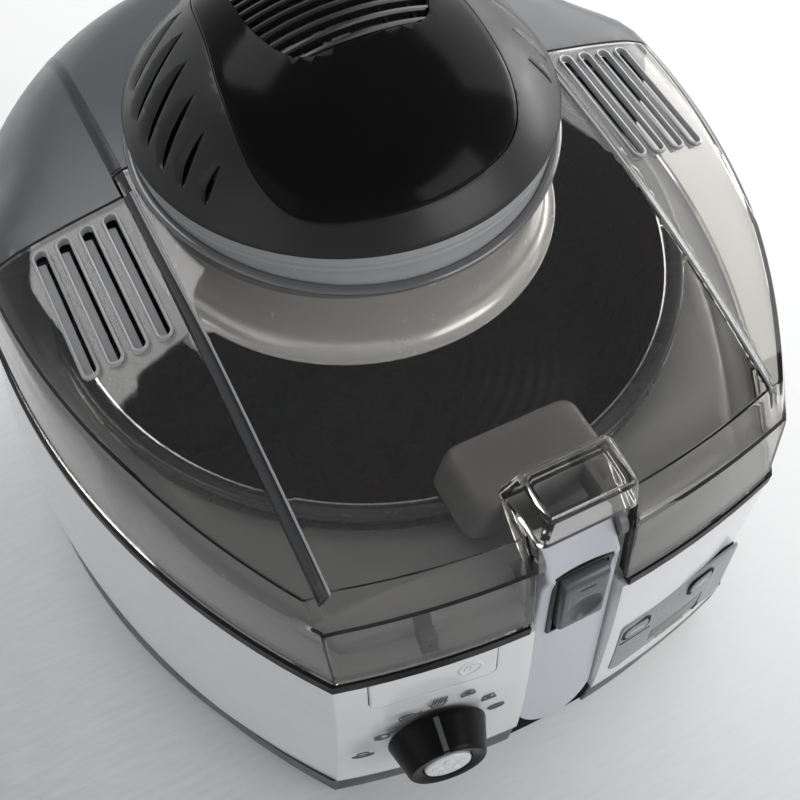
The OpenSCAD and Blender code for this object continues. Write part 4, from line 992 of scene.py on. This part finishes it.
def food_marks():
    """Small plain pictures of dishes round the knob."""
    lines = [arc(-90, 60, 4.2, 1.6, 180, 360), [(-94.6, 60.4), (-85.4, 60.4)], arc(-90, 61.5, 2.6, 1.6, 20, 160, 6),
        arc(-82, 76, 3.2, 2.4, 200, 520, 14), [(-79.4, 77.6), (-76.4, 79.4)], arc(-83, 75.6, 1.2, 0.9, 0, 300, 8),
        arc(-71, 90, 3.8, 2.7, 30, 350, 14), arc(-71.6, 90, 1.7, 1.2, 0, 350, 10), [(-67.6, 91.2), (-65.4, 92.6)]]
    for k in range(5):
        lines.append([(-61.8 + k * 1.3, 93.6 + (k % 2) * 0.8), (-60.4 + k * 1.3, 99 - (k % 2) * 0.6)])
    lines += [[(-62.6, 95.6), (-61.4, 92.6), (-56.6, 92.6), (-55.4, 95.6)],
        [(-49.5, 93.5), (-43.2, 93.5)], arc(-46.3, 94.2, 2.8, 3.0, 0, 180, 10), arc(-46.3, 95, 1.0, 0.8, 0, 340, 8),
        [(-40, 81.2), (-33.8, 81.2)], [(-40, 81.2), (-38.8, 85.2), (-35.2, 85.2), (-33.8, 81.2)],
        arc(-37, 83, 0.9, 0.7, 0, 340, 8), arc(-33, 69.5, 3.6, 1.9, 0, 350, 14), arc(-33, 69.5, 2.2, 0.9, 0, 340, 10)]
    return join("marks", [stroke(points, 0.55, on_face) for points in lines])


def front_frame(x, z, lean):
    """Frame on the front: X along the face, Y up, Z out of it."""
    radius = FRONT_R - smooth_at(BODY_FRONT, z)
    turn = asin(x / radius)
    return (Matrix.Translation(Vector((x, FRONT_C - radius * cos(turn), z)) * MM)
        @ Matrix.Rotation(turn, 4, "Z") @ Matrix.Rotation(radians(90 - lean), 4, "X"))


def make_front():
    body = make_base()
    cut(body, plate("opening", release_edge(0), on_face, 8, 8, 0.1))
    cut(body, plate("display_seat", display_edge(0.35), on_face, 2.6, 8, 0.1))
    for _, x in BUTTONS.values():
        cut(body, plate("button_hole", rounded_box(14.4, 10.4, 3.6, 6, (x, 77)), on_face, 8, 8, 0.1))
    soften(body, 0.6, 40, 3)
    hand_over(body, "base_shell_moulding", white_gloss, "base", "base_shell", angle=34)
    button = plate("button", release_edge(-0.5), on_face, 2.9, 0.0, 0.7)
    cut(button, block("top_trim", (-100, -250, 127.6), (0, -100, 150)))
    rod_at = on_face(RELEASE[0], 117, -2.5)
    cut(button, rod("plunger", rod_at, (0, 1, 0), 3, 6.2, 32), "UNION")
    ring = [plate("ring", lambda inset: [(-46 + (5.1 - inset) * cos(radians(a)), 118 + (5.1 - inset) * sin(radians(a)))
        for a in range(0, 360, 10)], on_face, 0.6, 0.45, 0.4)]
    cut(ring[0], plate("hollow", lambda inset: [(-46 + 4.1 * cos(radians(a)), 118 + 4.1 * sin(radians(a)))
        for a in range(0, 360, 10)], on_face, 3, 3, 0.1))
    ring.append(stroke(arc(-46, 117.6, 2.2, 2.2, 20, 200, 10), 0.8, on_face, 0.4))
    ring.append(stroke([(-46, 117.4), (-44.2, 120.4)], 0.8, on_face, 0.4))
    for bit in ring:
        cut(button, bit, "UNION")
    hand_over(button, "release_button_moulding", white_gloss, "release", "release_button", angle=34)
    hand_over(food_marks(), "dial_marks", mark_grey, "base", angle=40)


# ---- Display and its buttons ----------------------------------------------------------------

def display_edge(grow):
    return rounded_box(68 + 2 * grow, 46 + 2 * grow, (3, 3, 6, 6), 6, (60, 63))


BUTTONS = {"timer_left": ("timer_button_left", 35.0), "timer_right": ("timer_button_right", 72.0)}


def make_display():
    panel = plate("panel", display_edge(0), on_face, 0.9, 0.25, 0.5)
    cut(panel, plate("window", rounded_box(31.4, 12.4, 1.6, 4, (62, 55)), on_face, 4, 4, 0.1))
    for _, x in BUTTONS.values():
        cut(panel, plate("gap", rounded_box(14.0, 10.0, 3.4, 6, (x, 77)), on_face, 4, 4, 0.1))
    hand_over(panel, "display_panel_face", panel_grey, "base", "display_panel", angle=34)
    lens = plate("lens", rounded_box(31, 12, 1.5, 4, (62, 55)), on_face, 1.0, 0.1, 0.3)
    hand_over(lens, "display_lens_window", lens_dark, "base", "display_lens", angle=34)
    back = plate("well", rounded_box(66, 44, 2, 4, (60, 63)), on_face, 2.2, -1.6, 0.2)
    for _, x in BUTTONS.values():
        cut(back, plate("button_hole", rounded_box(14.0, 10.0, 3.4, 6, (x, 77)), on_face, 8, 8, 0.1))
    hand_over(back, "display_well", seal_black, "base", angle=34)
    white, dark = [], []
    for body, (node, x) in BUTTONS.items():
        button = plate("button", rounded_box(12.6, 8.6, 3.2, 6, (x, 77)), on_face, 1.5, 0.75, 0.6)
        cut(button, rod("stem", on_face(x, 77, -1.2), (0, 1, 0), 2, 8.2, 24), "UNION")
        hand_over(button, node + "_cap", panel_grey, body, node, angle=34)
        ring = plate("ring", rounded_box(15.4, 11.4, 4.0, 6, (x, 77)), on_face, 0.6, 0.4, 0.2)
        cut(ring, plate("hole", rounded_box(14.0, 10.0, 3.4, 6, (x, 77)), on_face, 4, 4, 0.1))
        dark.append(ring)
        glyph = [stroke([(x - 3.6, 77.2), (x + 3.6, 77.2)], 1.3, on_face, 0.9, 0.1)]
        if body == "timer_right":
            glyph.append(stroke([(x, 74.2), (x, 80.2)], 1.3, on_face, 0.9, 0.1))
        hand_over(join("glyph", glyph), node + "_mark", off_white, body, angle=40)
    white.append(stroke([(53, 44.2), (70, 44.2)], 0.9, on_face, 0.42))
    dark.append(stroke(arc(73, 47.5, 5.0, 3.4, 300, 380, 8), 0.8, on_face, 0.42))
    dark.append(stroke([(27.5, 68.8), (44, 68.8)], 0.5, on_face, 0.42))
    hand_over(join("white", white), "display_lines", off_white, "base", angle=40)
    hand_over(join("dark", dark), "display_rings", seal_black, "base", angle=40)


# ---- Knob -------------------------------------------------------------------------------------

def make_knob():
    seat = front_frame(-59.7, 69.2, 3)
    grip = spun("grip", [(4.0, 1.0), (19.6, 0.8), (20.6, 1.0), (21.0, 1.7), (20.9, 2.8), (20.2, 4.6), (16.9, 14.8),
        (16.5, 15.9),
        (15.7, 16.6), (14.8, 16.5), (11.2, 15.6), (10.6, 15.2), (10.45, 14.6), (10.4, 13.6), (4.0, 13.4)], (0, 0), 96)
    line = loft("line", [[(-1.1, r - 0.9, h), (-1.1, r + 0.22, h), (1.1, r + 0.22, h), (1.1, r - 0.9, h)]
        for r, h in ((20.75, 3.0), (19.0, 8.2), (17.2, 13.6), (16.6, 15.4), (15.6, 16.55), (11.6, 15.75))])
    cap = spun("cap", [(0, 12.0), (9.6, 12.0), (9.95, 14.6), (9.9, 15.7), (9.4, 16.3), (8.4, 16.55), (4, 16.7),
        (0, 16.75)],
        (0, 0), 64)
    leaf = []
    for k in range(5):
        turn = 2 * pi * k / 5 + 0.4
        leaf.append(loft("leaf", [[(r * cos(turn + a) + 0, r * sin(turn + a), h) for r, a in
            ((2.2, 0.0), (3.6, 0.32), (5.6, 0.34), (7.4, 0.12), (7.6, -0.1), (5.8, -0.3),
            (3.6, -0.26))] for h in (16.2, 17.05)]))
    for bit in leaf:
        cut(cap, soften(bit, 0.35, 50, 2), "UNION")
    for piece, name, mat, stands in ((grip, "knob_grip", knob_black, "knob"),
            (line, "knob_pointer", pointer_grey, None),
            (cap, "knob_cap_disc", cap_white, "knob_cap")):
        piece.data.transform(seat @ (Matrix.Rotation(radians(4), 4, "Z") if piece is line else Matrix.Identity(4)))
        hand_over(piece, name, mat, "knob", *([stands] if stands else []), angle=30)


# ---- Handle, its slider and its bracket -------------------------------------------------------

def blade_front(x, z):
    """The front of the handle: a bowed face with a brow, above which it leans back."""
    share = min(1.0, abs(x) / 15.6)
    fold = 154.6 + 3.8 * share ** 2
    y = -176 - (160 - min(z, fold)) * 0.0685 + 1.0 * share ** 2
    below = max(0.0, fold - z)
    y -= 1.5 * exp(-(below / 5.5) ** 1.5)
    if z > fold:
        y += (z - fold) * 0.8
    return min(y, -165.5)


def make_handle():
    rows = [20.2, 20.8, 21.8, 23.4, 25.6, 28.4, 31.6, 35, 38.4, 46, 56, 68, 80, 92, 104, 114, 124, 132, 138, 142,
        145.5, 148, 150,
        151.6, 153, 154, 154.6, 155.2, 156.4, 158.4, 161, 164, 167, 169.6, 171.4, 172.4]
    rings = []
    for row in rows:
        half = 15.7 if row > 153 else 15.7 + 1.6 * min(1.0, (153 - row) / 5) + 1.6 * max(0.0, 148 - row) / 110
        if row < 39:
            half = sqrt(max(0.9, 18.8 ** 2 - (39 - row) ** 2))
        lift = 3.8 * max(0.0, 1 - abs(row - 154.6) / 14)
        near = min(1.8, half * 0.45)
        def at(x, back=0.0):
            z = row + lift * min(1.0, abs(x) / 15.6) ** 2
            return (x, z)
        ring = []
        for k in range(17):
            x, z = at((-1 + 2 * k / 16) * (half - near))
            ring.append((x, blade_front(x, z), z))
        cx, z = half - near, at(half)[1]
        fy = blade_front(cx, z)
        for k in range(1, 7):
            t = pi / 2 * k / 6
            ring.append((cx + near * sin(t), fy + near * (1 - cos(t)), z))
        rear = -170.5 + (row - 56) * 0.11 if row > 56 else -172.5 + (row - 20) * 0.0556
        if row > 165:
            rear = -167 + sqrt(max(0.3, 8.5 ** 2 - (row - 165) ** 2))
        rear = max(rear, fy + near + 1.2)
        right = [(half, rear - 1.2, z), (half - 0.35, rear - 0.35, z), (half - 1.2, rear, z)]
        middle = [(0.5 * half, rear, row), (0, rear, row), (-0.5 * half, rear, row)]
        ring += right + middle + [(-x, y, z) for x, y, z in reversed(right)]
        ring += [(-(cx + near * sin(t)), fy + near * (1 - cos(t)),
            z) for t in [pi / 2 * k / 6 for k in range(6, 0, -1)]]
        rings.append(ring)
    blade = loft("blade", rings)
    slot = block("pocket", (-12.6, -14, -46.1), (12.6, 6, -1.9))
    slot.data.transform(HANDLE)
    cut(blade, slot)
    soften(blade, 0.7, 50, 3)
    hand_over(blade, "handle_blade", handle_silver, "handle", "handle", angle=38)


HANDLE = Matrix.Translation(Vector((0, -176, 160)) * MM) @ Matrix.Rotation(radians(-3.92), 4, "X")


def on_blade(u, v, out=0.0):
    return tuple(HANDLE @ (Vector((u, -out, v)) * MM) / MM)


def make_slider():
    frame_ring = plate("frame", rounded_box(25, 44, 1.2, 5, (0, -24)), on_blade, 5.9, 0.35, 0.3)
    cut(frame_ring, plate("window", rounded_box(21.6, 40.6, 0.8, 4, (0, -24.2)), on_blade, 4.4, 6, 0.1))
    hand_over(frame_ring, "slider_bezel_frame", bezel_black, "handle", "slider_bezel", angle=34)
    def section(half, low, high, out):
        return [on_blade(u, v, out) for u, v in rounded_box(2 * half, high - low, 0.9, 4, (0, (low + high) / 2))(0)]
    button = loft("button", [section(10, -39, -5, -3.9), section(10, -39, -5, 1.2), section(9.9, -38.8, -6.2, 3.2),
        section(9.5, -38.4, -7.6, 4.0), section(9.0, -37.9, -8.1, 4.2), section(7, -36, -10, 4.2),
        section(3, -30, -16, 4.2)])
    deselect()
    bpy.ops.mesh.primitive_uv_sphere_add(segments=64, ring_count=40, radius=11 * MM, location=(0, 0, 0))
    ball = bpy.context.object
    ball.data.transform(HANDLE @ Matrix.Translation(Vector((0.4, -11.6, -27.6)) * MM))
    cut(button, ball)
    soften(button, 0.35, 40, 2)
    hand_over(button, "slider_button", slider_grey, "slider", "slider", angle=36)
    dash = plate("dash", rounded_box(7, 1.1, 0.4, 3, (0.4, -12.6)), on_blade, -3.9, 4.28, 0.1)
    hand_over(dash, "slider_mark", seal_black, "slider", angle=34)


def make_bracket():
    def ring(half, front, back, z, r):
        return [(x, y, z) for x, y in rounded_box(2 * half, back - front, r, 7, (0, (front + back) / 2))(0)]
    rows = [(32.0, 0.0, 153.6), (31.8, 0.0, 155), (30.6, 0.1, 160), (29.2, 0.3, 166), (28.4, 0.6, 168.6),
        (27.6, 1.1, 170.2),
        (26.4, 2.0, 171.4), (24.8, 3.2, 172.0), (18, 8, 172.1), (8, 12, 172.1)]
    body = loft("bracket", [ring(half, -148 + step, -116 - step, z, min(6, 15.5 - step)) for half, step, z in rows])
    for side in (-1, 1):
        low, high = sorted((side * 15.9, side * 18.9))
        cut(body, soften(block("arm", (low, -169, 158), (high, -140, 172)), 0.8, 40, 2), "UNION")
        cut(body, rod("ear", (low, PIVOT_Y, PIVOT_Z), (1, 0, 0), 7, 3, 48), "UNION")
    cut(body, rod("bore", (-30, PIVOT_Y, PIVOT_Z), (1, 0, 0), 2.05, 60, 32))
    hand_over(body, "bracket_moulding", bracket_grey, "pan", "handle_bracket", angle=36)


# ---- Pan, paddle and deck ----------------------------------------------------------------------

def fillet_arc(r, z, radius, start, end):
    turns = [radians(start + (end - start) * k / 7) for k in range(8)]
    return [(r + radius * cos(t), z + radius * sin(t)) for t in turns]


def make_pan():
    profile = [(8, 68), (104, 68)] + fillet_arc(104, 88, 20, -60, -15)
    profile += [(124, 88), (132, 142), (132, 146.5), (136.5, 146.5), (137, 150), (138, 151.2), (138.2, 152.2),
        (137.8, 153.0),
        (137.0, 153.3), (135.4, 152.9), (131.6, 151.2), (130.4, 150.8), (129.8, 150.2), (129.6, 149.2), (122.2, 92),
        (122, 88)]
    profile += fillet_arc(104, 88, 18, -15, -75)
    profile += [(104, 70)]
    r = 100.0
    while r > 22:
        profile += [(r, 70), (r - 1.4, 70.35), (r - 2.8, 70)]
        r -= 6.5
    profile += [(17, 70), (12.6, 72.4), (11, 76), (10.5, 105.4), (10.1, 106), (8, 106)]
    pan = spun("pan", profile, PAN_MIDDLE, 128)
    hand_over(pan, "pan_dish", pan_coat, "pan", "pan", angle=34)
    ring = spun("ring", [(131.8, 151.5), (132.6, 152.3), (135.4, 153.3), (137.0, 153.7), (138.2, 153.4),
        (138.7, 152.4), (138.6, 151.2),
        (137.8, 150.6), (137.4, 151.8), (136.8, 152.8), (135.4, 152.6)], PAN_MIDDLE, 128)
    hand_over(ring, "pan_rim_ring", rim_steel, "pan", angle=50)
    edge = spun("edge", [(129.6, 150.4), (129.4, 149.6), (129.9, 149.3), (130.6, 150.3), (131.0, 151.2),
        (130.3, 151.3)], PAN_MIDDLE, 128)
    hand_over(edge, "pan_edge_line", rim_bright, "pan", angle=60)


BLADE_THICK = 5.0


def blade(turn, side_shape):
    """One arm of the paddle: its side shape stood up at a turn about the hub, with rounded edges."""
    rings, half = [], BLADE_THICK / 2
    for across, grow in ((-half, -0.9), (-half + 0.5, -0.25), (-half + 1.2, 0), (half - 1.2, 0), (half - 0.5, -0.25),
            (half, -0.9)):
        middle_r = sum(r for r, z in side_shape) / len(side_shape)
        middle_z = sum(z for r, z in side_shape) / len(side_shape)
        ring = []
        for r, z in side_shape:
            dr, dz = r - middle_r, z - middle_z
            length = sqrt(dr * dr + dz * dz)
            k = (length + grow) / length
            rr, zz = middle_r + dr * k, middle_z + dz * k
            ring.append((rr * cos(turn) - across * sin(turn),
                PAN_MIDDLE[1] + rr * sin(turn) + across * cos(turn), zz))
        rings.append(ring)
    return loft("blade", rings)


def make_paddle():
    hub = spun("hub", [(0, 106.5), (5.6, 106.5), (13.9, 106.4), (13.9, 78.8), (17.4, 76.5), (17.5, 77.6), (15.6, 100),
        (14.7, 115),
        (14.2, 118.2), (12.6, 120.2), (9.4, 121.6), (7.4, 122.4), (7, 124), (7, 127.2), (6.4, 128.6), (5, 129),
        (0, 129)], PAN_MIDDLE, 72)
    long_side = [(13.5, 77), (22.5, 71.2), (60, 71), (100, 71), (108, 71.4), (112.4, 74), (115, 77), (117.6, 83),
        (119, 89), (120.6, 100),
        (121, 108), (119.6, 110.6), (116.6, 112), (114.4, 111), (113, 106), (110, 92), (106, 87), (98, 84),
        (60, 84.4), (26.5, 86),
        (18, 91), (13.5, 100)]
    short_side = [(13.5, 77), (22.5, 71.2), (62, 71), (65.4, 72.6), (67.6, 78), (67.8, 81), (65.6, 82.4), (40, 83.2),
        (24.5, 84), (17.5, 88),
        (13.5, 94)]
    cut(hub, blade(radians(200), long_side), "UNION")
    cut(hub, blade(radians(20), short_side), "UNION")
    hand_over(hub, "paddle_moulding", paddle_black, "paddle", "paddle", angle=36)


make_lid()
make_front()
make_skirt()
make_display()
make_knob()
make_handle()
make_slider()
make_bracket()
make_pan()
make_paddle()
make_dome()
make_drum()

for name, node in nodes.items():
    paint(node, SKIN[name])

for name in nodes:
    if name not in finished:
        smooth_copy(name)


# ---- Floor and light ----------------------------------------------------------------------

FLOOR_GLOW = 0.62


def math_node(tree, operation, a, b):
    node = tree.nodes.new("ShaderNodeMath")
    node.operation = operation
    for socket, value in zip(node.inputs, (a, b)):
        if isinstance(value, float):
            socket.default_value = value
        else:
            tree.links.new(value, socket)
    return node.outputs["Value"]


def set_floor():
    deselect()
    bpy.ops.mesh.primitive_plane_add(size=6, location=(0, 0, 0))
    floor = bpy.context.object
    floor.name = "floor"
    mat, tree, shader = new_material("floor_paint")
    streak = object_noise(tree, 60, 5, (1, 6, 1))
    coords = tree.nodes.new("ShaderNodeTexCoord")
    slope = tree.nodes.new("ShaderNodeVectorMath")
    slope.operation = "DOT_PRODUCT"
    slope.inputs[1].default_value = (0.85, 0.53, 0)
    tree.links.new(coords.outputs["Object"], slope.inputs[0])
    # The floor turns from the streaked grey at the left front to white at the right and back, and glows the same way:
    # a painted pool of light, with painted shade at the left front.
    lit_side_ramp = tree.nodes.new("ShaderNodeMapRange")
    lit_side_ramp.interpolation_type = "SMOOTHSTEP"
    lit_side_ramp.inputs["From Min"].default_value = -0.32
    lit_side_ramp.inputs["From Max"].default_value = 0.22
    tree.links.new(slope.outputs["Value"], lit_side_ramp.inputs["Value"])
    grain = ramp(tree, streak, (0.50, 0.505, 0.515), (0.585, 0.59, 0.60))
    mix = tree.nodes.new("ShaderNodeMix")
    mix.data_type = "RGBA"
    tree.links.new(lit_side_ramp.outputs["Result"], mix.inputs["Factor"])
    tree.links.new(grain, mix.inputs["A"])
    mix.inputs["B"].default_value = (0.92, 0.92, 0.92, 1)
    tree.links.new(mix.outputs["Result"], shader.inputs["Base Color"])
    shader.inputs["Roughness"].default_value = 0.6
    glow = tree.nodes.new("ShaderNodeEmission")
    path = tree.nodes.new("ShaderNodeLightPath")
    seen = math_node(tree, "MAXIMUM", path.outputs["Is Camera Ray"], path.outputs["Is Glossy Ray"])
    seen = math_node(tree, "MAXIMUM", seen, path.outputs["Is Transmission Ray"])
    part = math_node(tree, "MULTIPLY", seen, lit_side_ramp.outputs["Result"])
    share = math_node(tree, "MULTIPLY", part, FLOOR_GLOW)
    both = tree.nodes.new("ShaderNodeMixShader")
    tree.links.new(share, both.inputs["Fac"])
    tree.links.new(shader.outputs["BSDF"], both.inputs[1])
    tree.links.new(glow.outputs["Emission"], both.inputs[2])
    tree.links.new(both.outputs["Shader"], tree.nodes["Material Output"].inputs["Surface"])
    paint(floor, mat)


def set_lamp(name, place, aim, size, power):
    data = bpy.data.lights.new(name, "AREA")
    data.shape = "RECTANGLE"
    data.size, data.size_y = size
    data.energy = power
    lamp = bpy.data.objects.new(name, data)
    bpy.context.scene.collection.objects.link(lamp)
    lamp.location = place
    lamp.rotation_euler = (Vector(aim) - Vector(place)).to_track_quat("-Z", "Y").to_euler()


def set_light():
    set_lamp("key", (1.6, 0.9, 1.0), (0, 0, 0.15), (2.2, 1.6), 25)
    set_lamp("top", (-0.35, 0.95, 1.45), (0, 0, 0.15), (1.0, 0.7), 8)
    set_lamp("front", (0.9, -1.3, 0.9), (0, 0, 0.1), (1.0, 0.8), 9)
    set_lamp("side", (1.65, 0.2, 0.32), (0, 0, 0.2), (0.8, 0.24), 4.5)
    set_lamp("fill", (-1.5, -0.5, 0.9), (0, 0, 0.1), (1.0, 1.0), 1.4)
    world = bpy.data.worlds.new("studio")
    bpy.context.scene.world = world
    world.use_nodes = True
    tree = world.node_tree
    coords = tree.nodes.new("ShaderNodeTexCoord")
    split = tree.nodes.new("ShaderNodeSeparateXYZ")
    rise = tree.nodes.new("ShaderNodeValToRGB")
    stops = rise.color_ramp.elements
    stops[0].position, stops[0].color = 0.0, (0.95, 0.96, 0.98, 1)
    stops[1].position, stops[1].color = 0.75, (0.34, 0.35, 0.37, 1)
    tree.links.new(coords.outputs["Generated"], split.inputs["Vector"])
    tree.links.new(split.outputs["Z"], rise.inputs["Fac"])
    tree.links.new(rise.outputs["Color"], tree.nodes["Background"].inputs["Color"])
    tree.nodes["Background"].inputs["Strength"].default_value = 0.8


set_floor()
set_light()
bpy.context.scene.view_settings.view_transform = "Standard"
